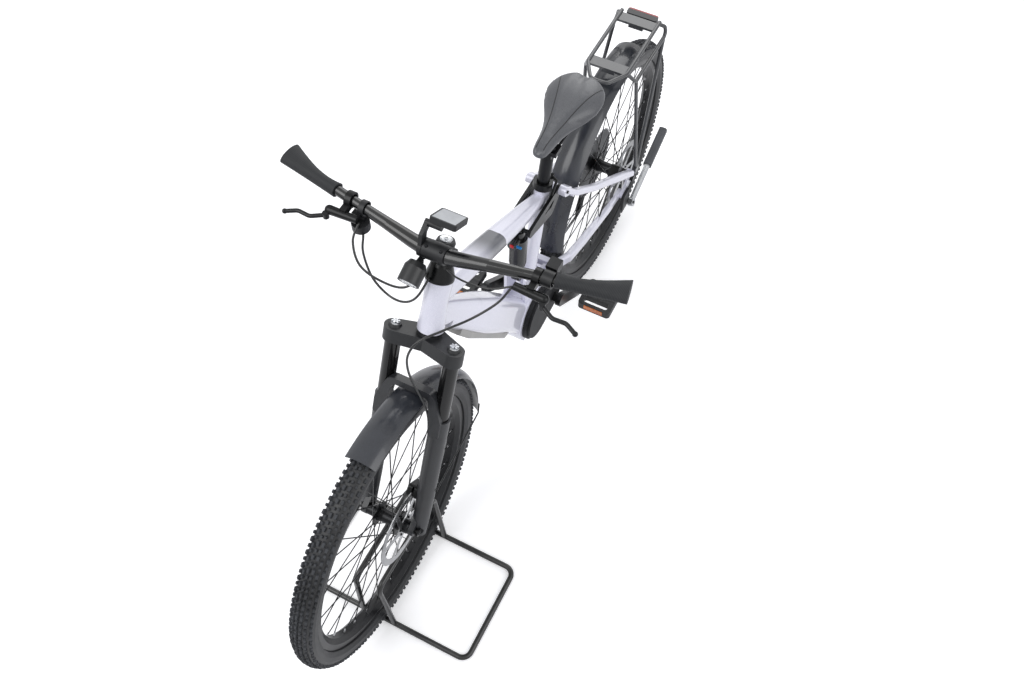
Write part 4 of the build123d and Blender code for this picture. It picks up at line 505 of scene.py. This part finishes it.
def make_tyre(name, node, x, body, finish, lit_knob_finish):
    """A knobbly tyre: a turned carcass with staggered rows of tapered knobs."""
    looks = bpy.context.scene.tyre_looks
    base = TYRE_RADIUS - looks.knob_height
    half = looks.carcass_width / 2
    shape = bmesh.new()
    # Half widths and radii of the cross section: the arch of the tread, the sidewall and the bead
    tread = []
    tread_share, half_steps = 0.9, 6
    for step in range(2 * half_steps + 1):
        across = half * tread_share * (1 - step / half_steps)
        tread.append((across, tread_radius(across, base)))
    lower = [(half, 0.343), (half * 0.97, 0.332), (half * 0.78, 0.3215), (0.0146, 0.3205), (0.0136, 0.312)]
    outline = lower[::-1] + tread + [(-a, r) for a, r in lower]
    ring = [shape.verts.new((x, a, AXLE_Z + r)) for a, r in outline]
    edges = [shape.edges.new(pair) for pair in zip(ring, ring[1:])]
    bmesh.ops.spin(
        shape,
        geom=ring + edges,
        cent=(x, 0, AXLE_Z),
        axis=(0, 1, 0),
        angle=2 * pi,
        steps=120,
        use_merge=True,
    )
    pitches = looks.knob_pitches
    for across, length, width, height, share in KNOB_ROWS:
        floor = tread_radius(across, base)
        tilt = atan2(across, KNOB_FAN)
        for index in range(pitches):
            turn = (index + share) / pitches * 2 * pi
            made = bmesh.ops.create_cube(shape, size=1.0)["verts"]
            for vert in made:
                if vert.co.z > 0:
                    vert.co.x *= KNOB_TAPER[0]
                    vert.co.y *= KNOB_TAPER[1]
            grow = 1.0 if index % 2 else SHORT_KNOB
            place = (
                Matrix.Translation((x, 0, AXLE_Z))
                @ Matrix.Rotation(turn, 4, "Y")
                @ Matrix.Translation((0, across, floor))
                @ Matrix.Rotation(-tilt, 4, "X")
                @ Matrix.Translation((0, 0, height / 2 - KNOB_ROOT))
                @ Matrix.Diagonal((length * grow, width, height, 1))
            )
            bmesh.ops.transform(shape, matrix=place, verts=made)
            # The knobs take the second finish, painted lighter than the carcass as light on them
            for face in {face for vert in made for face in vert.link_faces}:
                face.material_index = 1
    tyre = finished(name, shape, finish, body, smooth=False)
    tyre.data.materials.append(lit_knob_finish)
    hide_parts(node)


# Stations along the saddle: distance from its rear end, width, depth and how far its top lies down
SADDLE_STATIONS = (
    (0.000, 0.050, 0.020, 0.006),
    (0.006, 0.090, 0.030, 0.003),
    (0.026, 0.134, 0.040, 0.001),
    (0.062, 0.1505, 0.045, 0.000),
    (0.095, 0.136, 0.045, 0.004),
    (0.125, 0.104, 0.043, 0.008),
    (0.155, 0.070, 0.041, 0.011),
    (0.190, 0.050, 0.039, 0.013),
    (0.228, 0.043, 0.037, 0.014),
    (0.252, 0.036, 0.031, 0.017),
    (0.2615, 0.020, 0.020, 0.024),
)
SECTION_POINTS = 24
# Powers that square the section's sides and its top
SIDE_POWER = 0.72
TOP_POWER = 0.6
# The top falls to its sides by this share of the depth, mostly near the edge
SIDE_DROP = 0.34
SIDE_DROP_POWER = 2.2


def saddle_section(shape, along, width, depth, top, channel, base):
    """One closed cross section of the saddle, with a shallow channel down its middle."""
    half = width / 2
    channel_half = 0.1 * width + 0.006
    points = []
    for step in range(SECTION_POINTS):
        turn = 2 * pi * step / SECTION_POINTS
        across = sin(turn)
        up = cos(turn)
        y = half * (abs(across) ** SIDE_POWER) * (1 if across > 0 else -1)
        z = top - depth / 2 + depth / 2 * (abs(up) ** TOP_POWER) * (1 if up > 0 else -1)
        if up > 0:
            z -= channel * max(0.0, 1 - (abs(y) / channel_half) ** 2)
            z -= depth * SIDE_DROP * (abs(y) / half) ** SIDE_DROP_POWER
        points.append(shape.verts.new((along, y, max(z, base))))
    return points


def rounded(piece, levels):
    """Rounds a piece with subdivisions."""
    smooth = piece.modifiers.new("rounding", "SUBSURF")
    smooth.levels = levels
    smooth.render_levels = levels


def plain_mesh(context, piece):
    """Turns a piece's modifiers into its mesh."""
    context.view_layer.update()
    skin = bpy.data.meshes.new_from_object(piece.evaluated_get(context.evaluated_depsgraph_get()))
    piece.modifiers.clear()
    piece.data = skin


def swell(context, piece, cap):
    """Lets a cover swell over its filling in a short cloth run, no point moving further than the cap."""
    voxel, pressure, last_frame, shell_band = 0.004, 4, 20, 0.01
    finish = piece.data.materials[0]
    plain_mesh(context, piece)
    even = piece.modifiers.new("even_faces", "REMESH")
    even.mode = "VOXEL"
    even.voxel_size = voxel
    even.use_smooth_shade = True
    plain_mesh(context, piece)
    if not piece.data.materials:
        piece.data.materials.append(finish)
    rest = [vert.co.copy() for vert in piece.data.vertices]
    # The hard shell under the saddle holds the lowest band of the cover
    floor = min(spot.z for spot in rest) + shell_band
    shell = piece.vertex_groups.new(name="shell")
    shell.add([index for index, spot in enumerate(rest) if spot.z < floor], 1.0, "REPLACE")
    cover = piece.modifiers.new("cover", "CLOTH")
    cover.settings.vertex_group_mass = "shell"
    cover.settings.use_pressure = True
    cover.settings.uniform_pressure_force = pressure
    cover.settings.effector_weights.gravity = 0
    cover.point_cache.frame_start = 1
    cover.point_cache.frame_end = last_frame
    for moment in range(1, last_frame + 1):
        context.scene.frame_set(moment)
    swollen = piece.evaluated_get(context.evaluated_depsgraph_get()).data
    moved = [vert.co.copy() for vert in swollen.vertices]
    piece.modifiers.clear()
    piece.vertex_groups.clear()
    for vert, start, end in zip(piece.data.vertices, rest, moved):
        shift = end - start
        vert.co = start + shift * min(1.0, cap / max(shift.length, 1e-9))
    context.scene.frame_set(1)


def vinyl(name, low, high, grain_mm, **shader):
    """Embossed vinyl: small pebbles pressed in the skin, a little shinier on their tops, with painted light
    on their tops and painted shade in the hollows between them.
    """
    material, place = start_material(name)
    pebble_and_painted_shade = add_node(
        material,
        "ShaderNodeTexVoronoi",
        {"feature": "SMOOTH_F1"},
        {"Vector": place, "Scale": 1000 / grain_mm},
    )
    # Painted light and shade: the pebbles' tops are coloured lighter and the hollows between them darker
    tone = add_node(
        material, "ShaderNodeMix", COLOURS, {0: pebble_and_painted_shade.outputs["Distance"], 6: linear(high), 7: linear(low)}
    )
    gloss = add_node(
        material,
        "ShaderNodeMapRange",
        inputs={"Value": pebble_and_painted_shade.outputs["Distance"], "To Min": 0.34, "To Max": 0.5},
    )
    relief = add_node(
        material,
        "ShaderNodeBump",
        {"invert": True},
        {"Height": pebble_and_painted_shade.outputs["Distance"], "Strength": 0.5, "Distance": 0.0003},
    )
    return end_material(
        material, tone.outputs[2], gloss.outputs["Result"], relief.outputs["Normal"], **shader
    )


# What makes a property a length
LENGTH = {"unit": "LENGTH", "subtype": "DISTANCE"}


class FrameLooks(bpy.types.PropertyGroup):
    paint_colour: bpy.props.FloatVectorProperty(
        name="Paint colour",
        description="Colour of the lacquered frame",
        default=linear("D2D2E2")[:3],
        subtype="COLOR",
        min=0,
        max=1,
    )
    band_colour: bpy.props.FloatVectorProperty(
        name="Band colour",
        description="Colour of the fade on the top tube",
        default=linear("4E5058")[:3],
        subtype="COLOR",
        min=0,
        max=1,
    )


class TyreLooks(bpy.types.PropertyGroup):
    knob_pitches: bpy.props.IntProperty(
        name="Knob pitches", description="Repeats of the tread round one tyre", default=76, min=20, max=120
    )
    knob_height: bpy.props.FloatProperty(
        name="Knob height",
        description="How far the knobs stand off the carcass",
        default=0.0055,
        **LENGTH,
    )
    carcass_width: bpy.props.FloatProperty(
        name="Carcass width",
        description="Width of the tyre across its sidewalls",
        default=0.056,
        **LENGTH,
    )


class SaddleLooks(bpy.types.PropertyGroup):
    channel_depth: bpy.props.FloatProperty(
        name="Channel depth",
        description="Depth of the channel down the middle of the saddle",
        default=0.009,
        **LENGTH,
    )
    swell_cap: bpy.props.FloatProperty(
        name="Swell limit",
        description="How far the cover may swell over its filling",
        default=0.0035,
        **LENGTH,
    )
    seam_width: bpy.props.FloatProperty(
        name="Seam width",
        description="Thickness of the sewn seams on the saddle's cover",
        default=0.0032,
        **LENGTH,
    )


class StageLooks(bpy.types.PropertyGroup):
    backdrop_level: bpy.props.FloatProperty(
        name="Backdrop level",
        description="Brightness of the world that the camera sees",
        default=0.97,
        min=0,
        max=2,
    )
    light_level: bpy.props.FloatProperty(
        name="Light level", description="Strength of the soft world light", default=0.62, min=0, max=3
    )


class BIKE_OT_dress_frame(bpy.types.Operator):
    """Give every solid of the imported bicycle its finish"""

    bl_idname = "bike.dress_frame"
    bl_label = "Finish the solids"

    def execute(self, context):
        dress(build_finishes())
        return {"FINISHED"}


class BIKE_OT_make_tyres(bpy.types.Operator):
    """Build both knobbly tyres over their plain solids"""

    bl_idname = "bike.make_tyres"
    bl_label = "Knobbly tyres"

    def execute(self, context):
        # Carcass rubber: near black between the knobs and on the sidewalls, with a fine mould texture,
        # painted darker than the knobs as shade in the gaps between them
        carcass = speckled("carcass_rubber_painted_shade", "17181A", "27282B", 2.0, 0.5, 0.1)
        # Knob rubber: dry charcoal with a dusty bloom, painted lighter than the carcass as light on the
        # knobs
        tread = speckled("knob_rubber_painted_light", "292A2D", "47494D", 1.6, 0.75, 0.2, Specular_IOR_Level=0.35)
        make_tyre("front_knobbly_tyre", "front_tyre", WHEEL_X, "front_wheel", carcass, tread)
        make_tyre("rear_knobbly_tyre", "rear_tyre", -WHEEL_X, "rear_wheel", carcass, tread)
        return {"FINISHED"}


class BIKE_OT_make_saddle(bpy.types.Operator):
    """Build the padded saddle with its middle channel and two sewn seams"""

    bl_idname = "bike.make_saddle"
    bl_label = "Padded saddle"

    def execute(self, context):
        looks = context.scene.saddle_looks
        low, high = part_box("saddle")
        # The cover ends a little above the solid's underside
        base = low[2] + 0.0006
        shape = bmesh.new()
        rings = []
        for along, width, depth, drop in SADDLE_STATIONS:
            top = high[2] - drop
            depth = min(depth, top - base)
            rings.append(saddle_section(shape, low[0] + along, width, depth, top, looks.channel_depth, base))
        loops = [
            [shape.edges.new((ring[i], ring[(i + 1) % SECTION_POINTS])) for i in range(SECTION_POINTS)]
            for ring in rings
        ]
        for first, second in zip(loops, loops[1:]):
            bmesh.ops.bridge_loops(shape, edges=first + second)
        shape.faces.new(rings[0])
        shape.faces.new(list(reversed(rings[-1])))
        # Embossed vinyl cover: charcoal with a pebbled grain, painted lighter on the pebbles' tops and
        # darker in the hollows as light and shade
        cover = vinyl(
            "saddle_vinyl_painted_pebble_shade", "333438", "54565B", 1.2, Coat_Weight=0.35, Coat_Roughness=0.25
        )
        saddle = finished("padded_saddle", shape, cover, "frame")
        rounded(saddle, 2)
        swell(context, saddle, looks.swell_cap)
        rounded(saddle, 1)
        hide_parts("saddle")
        context.view_layer.update()
        # Waxed black thread along the two curved seams of the cover
        thread = speckled("waxed_seam_thread", "0C0D0E", "1C1D20", 1.0, 0.5, 0.05)
        skin = saddle.evaluated_get(context.evaluated_depsgraph_get())
        shape = bmesh.new()
        # The seams start this far from the rear end, run this long, and close in towards the nose
        start, length, steps = 0.012, 0.236, 32
        nose_half, spread, sweep = 0.0095, 0.049, 1.7
        for side in (1, -1):
            line = []
            for step in range(steps + 1):
                share = step / steps
                x = low[0] + start + length * share
                y = side * (spread * (1 - share) ** sweep + nose_half)
                hit, spot = skin.ray_cast((x, y, high[2] + 0.05), (0, 0, -1))[:2]
                if hit:
                    line.append(spot)
            add_tube(shape, line, looks.seam_width / 3, 8)
        finished("saddle_seams", shape, thread, "frame")
        return {"FINISHED"}


def add_tube(shape, line, radius, sides):
    """A round tube that follows close points, turned with them so that it never twists."""
    forward = (line[1] - line[0]).normalized()
    across = forward.orthogonal().normalized()
    rings = []
    for index, point in enumerate(line):
        ahead = line[min(index + 1, len(line) - 1)] - line[max(index - 1, 0)]
        across = (across - ahead * across.dot(ahead) / ahead.dot(ahead)).normalized()
        up = ahead.normalized().cross(across)
        rings.append(
            [
                shape.verts.new(point + radius * (cos(turn) * across + sin(turn) * up))
                for turn in (2 * pi * step / sides for step in range(sides))
            ]
        )
    for first, second in zip(rings, rings[1:]):
        for step in range(sides):
            after = (step + 1) % sides
            shape.faces.new((first[step], first[after], second[after], second[step]))
    shape.faces.new(rings[0])
    shape.faces.new(list(reversed(rings[-1])))


def smooth_line(points, steps):
    """Close points on a smooth curve through a few chosen ones."""
    line = []
    ends = [points[0] * 2 - points[1]] + points + [points[-1] * 2 - points[-2]]
    for a, b, c, d in zip(ends, ends[1:], ends[2:], ends[3:]):
        for step in range(steps):
            t = step / steps
            square = (2 * a - 5 * b + 4 * c - d) * t**2
            cube = (3 * b - a - 3 * c + d) * t**3
            line.append(0.5 * ((2 * b) + (c - a) * t + square + cube))
    line.append(points[-1])
    return line


def disc(shape, centre, axis, radius, thickness, sides, inner, bevel):
    """A short round piece centred on a point, facing along an axis, with a sunk face if inner is given."""
    sunk_share = 0.35
    turn = Vector(axis).to_track_quat("Z", "Y").to_matrix().to_4x4()
    made = bmesh.ops.create_cone(
        shape,
        cap_ends=True,
        cap_tris=False,
        segments=sides,
        radius1=radius,
        radius2=radius - bevel,
        depth=thickness,
        matrix=Matrix.Translation(centre) @ turn,
    )["verts"]
    if inner:
        caps = [f for f in {f for v in made for f in v.link_faces} if len(f.verts) == sides]
        top = max(caps, key=lambda f: (f.calc_center_median() - Vector(centre)).dot(Vector(axis)))
        bmesh.ops.inset_individual(
            shape, faces=[top], thickness=radius - bevel - inner, depth=-thickness * sunk_share
        )


def block(shape, centre, size, axes=((1, 0, 0), (0, 1, 0), (0, 0, 1))):
    """A block of a size about a centre, with its sides along three axes."""
    turn = Matrix(axes).transposed().to_4x4()
    place = Matrix.Translation(centre) @ turn @ Matrix.Diagonal((*size, 1))
    bmesh.ops.create_cube(shape, size=1.0, matrix=place)


def soften(shape, offset, segments):
    """Bevels every edge of a shape."""
    bmesh.ops.bevel(
        shape,
        geom=shape.edges[:],
        offset=offset,
        segments=segments,
        profile=0.5,
        affect="EDGES",
        material=-1,
    )


# Hoses and wires that the bicycle holds at both ends: name, body, radius and route in millimetres
HOSES = (
    (
        "front_brake_hose",
        "steering",
        2.5,
        ((297, 168.4, 1026), (322, 150, 993), (360, 114, 966), (402, 74, 953), (437, 40, 940),
         (457, 24, 908), (462, 21, 856), (457, 27, 785), (453, 38.5, 720), (452, 43, 680),
         (453, 43, 630), (462, 42.5, 575), (480, 42, 520), (501, 41, 479), (518.2, 40, 450.3)),
    ),
    (
        "rear_brake_hose",
        "steering",
        2.5,
        ((297, -168.2, 1026), (327, -167, 1001), (350, -142, 966), (347, -98, 936), (335, -52, 930),
         (302.4, -20.1, 958.9)),
    ),
    (
        "gear_cable",
        "steering",
        2.5,
        ((303, -158, 1000), (312, -160, 950), (325, -138, 895), (333, -98, 868), (338, -58, 878),
         (336, -26, 914), (311.1, -8, 958.4)),
    ),
    (
        "display_lead",
        "steering",
        2.0,
        ((304, 30, 1004), (307, 56, 995), (303, 92, 988), (298, 128, 994), (287, 160, 1008),
         (272, 194, 1015), (262, 222, 1022)),
    ),
    (
        "caliper_hose",
        "frame",
        2.5,
        ((-430, 62.3, 368), (-446, 63.5, 396), (-472, 63, 424), (-500, 61.5, 442), (-518, 60, 452)),
    ),
    (
        "gear_housing",
        "frame",
        2.5,
        ((-492, -77, 346), (-520, -87, 349), (-560, -99, 354), (-598, -105, 354), (-628, -104, 341),
         (-644, -97, 318), (-641, -88, 296), (-627, -80, 284), (-609, -73, 281)),
    ),
)


class BIKE_OT_make_hoses(bpy.types.Operator):
    """Run the brake hoses, the gear cable and the display's lead between the pieces that hold them"""

    bl_idname = "bike.make_hoses"
    bl_label = "Hoses and cables"

    def execute(self, context):
        # Polyamide hose jacket: black with a soft shine
        jacket = speckled("black_hose_jacket", "0B0C0D", "17181A", 1.5, 0.3, 0.02, Coat_Weight=0.2)
        for name, body, radius, route in HOSES:
            shape = bmesh.new()
            points = [Vector(point) / 1000 for point in route]
            add_tube(shape, smooth_line(points, steps=8), radius / 1000, sides=12)
            finished(name, shape, jacket, body)
        return {"FINISHED"}


# Circles about the axles on which the rotor bolts, the nipples and the valve's middle lie
ROTOR_BOLTS, ROTOR_BOLT_CIRCLE = 6, 0.022
SPOKES, NIPPLE_CIRCLE, NIPPLE_LEAN = 32, 0.2895, 0.0012
VALVE_TURN, VALVE_CIRCLE = radians(264.4), 0.276
# The middle of a bolt or cap lies this far off the face that it sits on
CAP_LIFT = 0.0004


class BIKE_OT_make_bolts(bpy.types.Operator):
    """Add bolts, spoke nipples, valves, the fork's and stem's caps, and the shock's lever and dial"""

    bl_idname = "bike.make_bolts"
    bl_label = "Bolts, nipples and caps"

    def execute(self, context):
        # Black oxide steel screws: near black, satin
        screw = speckled("black_oxide_screws", "0F1011", "222326", 3, 0.34, 0, Metallic=0.8)
        # Nickel plated brass nipples: small bright caps at the rim
        nickel = speckled("nickel_nipples", "9A9B9E", "C6C7CA", 3, 0.28, 0, Metallic=1.0)
        for x, rotor_y, body, label in (
            (WHEEL_X, 0.0415, "front_wheel", "front"),
            (-WHEEL_X, 0.0565, "rear_wheel", "rear"),
        ):
            hub = Vector((x, 0, AXLE_Z))
            shape = bmesh.new()
            for index in range(ROTOR_BOLTS):
                turn = radians(360 / ROTOR_BOLTS * index + 30)
                out = Vector((cos(turn), 0, sin(turn)))
                place = hub + out * ROTOR_BOLT_CIRCLE + Vector((0, rotor_y + CAP_LIFT, 0))
                disc(shape, place, (0, 1, 0), 0.0034, 0.0026, 12, 0.0018, 0.0006)
            finished(f"{label}_rotor_bolts", shape, screw, body, smooth=False)
            shape = bmesh.new()
            for index in range(SPOKES):
                turn = radians(360 / SPOKES * index)
                out = Vector((cos(turn), 0, sin(turn)))
                lean = Vector((0, NIPPLE_LEAN if index % 2 else -NIPPLE_LEAN, 0))
                disc(shape, hub + out * NIPPLE_CIRCLE + lean, -out, 0.0021, 0.009, 8, 0, 0.0004)
            finished(f"{label}_spoke_nipples", shape, nickel, body, smooth=False)
            shape = bmesh.new()
            out = Vector((cos(VALVE_TURN), 0, sin(VALVE_TURN)))
            disc(shape, hub + out * VALVE_CIRCLE, -out, 0.003, 0.026, 12, 0, 0.0006)
            finished(f"{label}_valve", shape, nickel, body, smooth=False)
        # Polished alloy of the fork's adjuster caps and the stem's top cap: bright, nearly a mirror
        polished = speckled("polished_alloy_caps", "8E9094", "D0D2D5", 2, 0.18, 0, Metallic=1.0)
        axis = steer_shift(0, 0, 1)
        shape = bmesh.new()
        for left in (LEG_Y, -LEG_Y):
            top = steer_place(LEG_AHEAD, left, CAP_LIFT)
            disc(shape, top, axis, 0.0105, 0.003, 28, 0.0085, 0.0008)
            # Three crossed bars make the star of the adjuster
            for index in range(3):
                turn = pi / 3 * index
                ahead, across = cos(turn), sin(turn)
                sides = (steer_shift(ahead, across, 0), steer_shift(-across, ahead, 0), axis)
                block(shape, top + axis * 0.0022, (0.018, 0.0034, 0.003), sides)
        finished("fork_leg_caps", shape, polished, "steering", smooth=False)
        shape = bmesh.new()
        cap = steer_place(0, 0, 0.2178)
        disc(shape, cap, axis, 0.0135, 0.0018, 32, 0.009, 0.0005)
        disc(shape, cap + axis * 0.001, axis, 0.0042, 0.003, 12, 0.0024, 0.0005)
        finished("stem_cap_ring", shape, polished, "steering", smooth=False)
        shape = bmesh.new()
        # Four bolts of the stem's face plate, and one cap at each end of the front axle
        bar_ahead, bar_height, plate_radius = 0.038, 0.206, 0.0204
        for left in (0.016, -0.016):
            for lift in (radians(42), radians(-42)):
                facing = steer_shift(cos(lift), 0, sin(lift)).normalized()
                place = steer_place(bar_ahead, left, bar_height) + facing * plate_radius
                disc(shape, place, facing, 0.0036, 0.0026, 14, 0.002, 0.0005)
        for y, out in ((0.0803, 1), (-0.0753, -1)):
            disc(shape, Vector((WHEEL_X, y, AXLE_Z)), (0, out, 0), 0.0058, 0.0016, 20, 0.0036, 0.0004)
        finished("stem_and_axle_bolts", shape, screw, "steering", smooth=False)
        # Dyed anodised alloy of the shock's knobs: saturated blue and red with a soft metal sheen
        for name, code, deep, place, size in (
            ("shock_blue_lever", "1F7FC4", "0E5A96", (-0.0285, 0.013, 0.672), (0.006, 0.022, 0.006)),
            ("shock_red_dial", "C4202A", "8E1018", (-0.0265, 0.0, 0.672), (0.010, 0.010, 0.010)),
        ):
            shape = bmesh.new()
            block(shape, place, size)
            soften(shape, 0.0016, 2)
            finished(name, shape, speckled(f"{name}_anodised", deep, code, 3, 0.3, 0, Metallic=0.4), "frame")
        return {"FINISHED"}


class BIKE_OT_make_lamps(bpy.types.Operator):
    """Add the headlight's lens, the display's glass and the pedals' reflectors"""

    bl_idname = "bike.make_lamps"
    bl_label = "Lenses, glass and reflectors"

    def execute(self, context):
        # The headlight's beam, the middle of its back and how far ahead of it the lens lies
        aim = Vector((0.93, 0, -0.36)).normalized()
        back = Vector((0.312, -0.028, 1.0))
        reach = 0.0445
        # Clear polycarbonate over a bright reflector: pale with a soft sparkle
        lens = speckled(
            "polycarbonate_lens", "B9BDC4", "E6E9EE", 4, 0.08, 0.1, Metallic=0.5, Coat_Weight=1.0
        )
        shape = bmesh.new()
        disc(shape, back + aim * reach, aim, 0.0188, 0.003, 40, 0.015, 0.0008)
        finished("headlight_lens", shape, lens, "steering")
        # Toughened glass over a sleeping screen: pale grey, a painted reflection of the pale surroundings,
        # with a clear shine
        glass = speckled("screen_glass_painted_reflection", "9EA1A6", "B6B9BD", 30, 0.1, 0, Coat_Weight=0.6)
        face = Vector((-0.5, 0, 0.866)).normalized()
        middle = Vector((0.246, 0.008, 1.078)) + face * 0.0062
        up = face.cross(Vector((0, 1, 0))).normalized()
        shape = bmesh.new()
        block(shape, middle, (0.050, 0.048, 0.0012), ((0, 1, 0), up, face))
        soften(shape, 0.0004, 1)
        finished("display_screen", shape, glass, "steering", smooth=False)
        # Amber acrylic with a prismatic back: the reflectors at both ends of each pedal
        amber = speckled("amber_reflector", "9A3A04", "E07A12", 2.5, 0.16, 0.1, Coat_Weight=0.6)
        for body, (back_x, front_x), y, z in (
            ("pedal_left", (-0.3223, -0.2303), 0.144, 0.219),
            ("pedal_right", (-0.0737, 0.0183), -0.144, 0.451),
        ):
            shape = bmesh.new()
            for x in (back_x, front_x):
                block(shape, (x, y, z + 0.002), (0.0026, 0.056, 0.016))
            finished(f"{body}_reflectors", shape, amber, body, smooth=False)
        return {"FINISHED"}


# Half the floor's side, and the place at which the lamps point
FLOOR_HALF = 14.0
LIT_MIDDLE = Vector((0, 0, 0.4))
# The camera stands high at the front left of the bicycle, as in the photograph: yaw, pitch and roll
CAMERA_TURN = (radians(207.8), radians(-58.2), radians(-0.7))
CAMERA_PLACE = (1.2669, 0.6782, 2.5995)
SENSOR_MM = 36
FOCAL_PIXELS = 1023.6
PHOTO_WIDTH = 1024


class BIKE_OT_set_stage(bpy.types.Operator):
    """Lay the pale floor, hang the soft lights and place the camera"""

    bl_idname = "bike.set_stage"
    bl_label = "Floor, light and camera"

    def execute(self, context):
        scene = context.scene
        looks = scene.stage_looks
        shape = bmesh.new()
        bmesh.ops.create_grid(shape, x_segments=1, y_segments=1, size=FLOOR_HALF)
        mesh = bpy.data.meshes.new("studio_floor")
        shape.to_mesh(mesh)
        shape.free()
        floor = bpy.data.objects.new("studio_floor", mesh)
        scene.collection.objects.link(floor)
        # Matt studio vinyl, near white, that keeps soft contact shadows
        sheet, place = start_material("matt_studio_vinyl")
        grain = add_node(sheet, "ShaderNodeTexNoise", inputs={"Vector": place, "Scale": 3.0, "Detail": 2.0})
        tone = add_node(
            sheet,
            "ShaderNodeMix",
            COLOURS,
            {0: grain.outputs["Fac"], 6: linear("F6F6F8"), 7: linear("FAFAFB")},
        )
        matt = add_node(sheet, "ShaderNodeBsdfDiffuse", inputs={"Color": tone.outputs[2]})
        glow = add_node(sheet, "ShaderNodeEmission", inputs={"Color": linear("FFFFFF"), "Strength": 0.3})
        seen = add_node(sheet, "ShaderNodeLightPath")
        both = add_node(
            sheet, "ShaderNodeAddShader", inputs={0: matt.outputs["BSDF"], 1: glow.outputs["Emission"]}
        )
        lift = add_node(
            sheet,
            "ShaderNodeMixShader",
            inputs={0: seen.outputs["Is Camera Ray"], 1: matt.outputs["BSDF"], 2: both.outputs["Shader"]},
        )
        add_node(sheet, "ShaderNodeOutputMaterial", inputs={"Surface": lift.outputs["Shader"]})
        mesh.materials.append(sheet)

        world = bpy.data.worlds.new("studio_world")
        scene.world = world
        world.use_nodes = True
        world.node_tree.nodes.clear()
        ray = add_node(world, "ShaderNodeLightPath")
        shown = add_node(
            world,
            "ShaderNodeMath",
            {"operation": "MAXIMUM"},
            {0: ray.outputs["Is Camera Ray"], 1: ray.outputs["Is Glossy Ray"]},
        )
        soft = add_node(
            world, "ShaderNodeBackground", inputs={"Color": linear("FBFCFF"), "Strength": looks.light_level}
        )
        pale = add_node(
            world,
            "ShaderNodeBackground",
            inputs={"Color": linear("FFFFFF"), "Strength": looks.backdrop_level},
        )
        pick = add_node(
            world,
            "ShaderNodeMixShader",
            inputs={0: shown.outputs["Value"], 1: soft.outputs["Background"], 2: pale.outputs["Background"]},
        )
        add_node(world, "ShaderNodeOutputWorld", inputs={"Surface": pick.outputs["Shader"]})

        for label, spot, power, size in (
            ("key_softbox", Vector((2.2, -1.6, 3.4)), 62, 2.4),
            ("fill_softbox", Vector((0.4, 3.2, 2.8)), 46, 2.6),
            ("rear_softbox", Vector((-3.0, -0.4, 2.6)), 40, 2.4),
        ):
            lamp = bpy.data.lights.new(label, "AREA")
            lamp.energy = power
            lamp.size = size
            hung = bpy.data.objects.new(label, lamp)
            hung.location = spot
            hung.rotation_euler = (LIT_MIDDLE - spot).to_track_quat("-Z", "Y").to_euler()
            scene.collection.objects.link(hung)

        yaw, pitch, roll = CAMERA_TURN
        look = Vector((cos(pitch) * cos(yaw), cos(pitch) * sin(yaw), sin(pitch)))
        right = look.cross(Vector((0, 0, 1))).normalized()
        top = right.cross(look)
        right, top = cos(roll) * right + sin(roll) * top, cos(roll) * top - sin(roll) * right
        lens = bpy.data.cameras.new("photo_camera")
        lens.sensor_width = SENSOR_MM
        lens.lens = SENSOR_MM * FOCAL_PIXELS / PHOTO_WIDTH
        lens.clip_end = 60
        camera = bpy.data.objects.new("photo_camera", lens)
        turn = Matrix((right, top, -look)).transposed().to_4x4()
        camera.matrix_world = Matrix.Translation(CAMERA_PLACE) @ turn
        scene.collection.objects.link(camera)
        scene.camera = camera
        scene.view_settings.view_transform = "Standard"
        return {"FINISHED"}


STEPS = (
    BIKE_OT_dress_frame,
    BIKE_OT_make_tyres,
    BIKE_OT_make_saddle,
    BIKE_OT_make_hoses,
    BIKE_OT_make_bolts,
    BIKE_OT_make_lamps,
    BIKE_OT_set_stage,
)
GROUPS = (
    ("frame_looks", FrameLooks),
    ("tyre_looks", TyreLooks),
    ("saddle_looks", SaddleLooks),
    ("stage_looks", StageLooks),
)


class BIKE_PT_looks(bpy.types.Panel):
    """Lists the bicycle's pieces in the sidebar"""

    bl_label = "Mountain bicycle"
    bl_idname = "BIKE_PT_looks"
    bl_space_type = "VIEW_3D"
    bl_region_type = "UI"
    bl_category = "Bicycle"

    def draw(self, context):
        layout = self.layout
        for place, group in GROUPS:
            for name in group.__annotations__:
                layout.prop(getattr(context.scene, place), name)
        for step in STEPS:
            layout.operator(step.bl_idname)


def register():
    for name, group in GROUPS:
        bpy.utils.register_class(group)
        setattr(bpy.types.Scene, name, bpy.props.PointerProperty(type=group))
    for step in STEPS:
        bpy.utils.register_class(step)
    bpy.utils.register_class(BIKE_PT_looks)


def unregister():
    bpy.utils.unregister_class(BIKE_PT_looks)
    for step in reversed(STEPS):
        bpy.utils.unregister_class(step)
    for name, group in reversed(GROUPS):
        delattr(bpy.types.Scene, name)
        bpy.utils.unregister_class(group)


def main():
    register()
    bpy.ops.bike.set_stage()
    bpy.ops.bike.dress_frame()
    bpy.ops.bike.make_tyres()
    bpy.ops.bike.make_saddle()
    bpy.ops.bike.make_hoses()
    bpy.ops.bike.make_bolts()
    bpy.ops.bike.make_lamps()


if __name__ == "__main__":
    main()
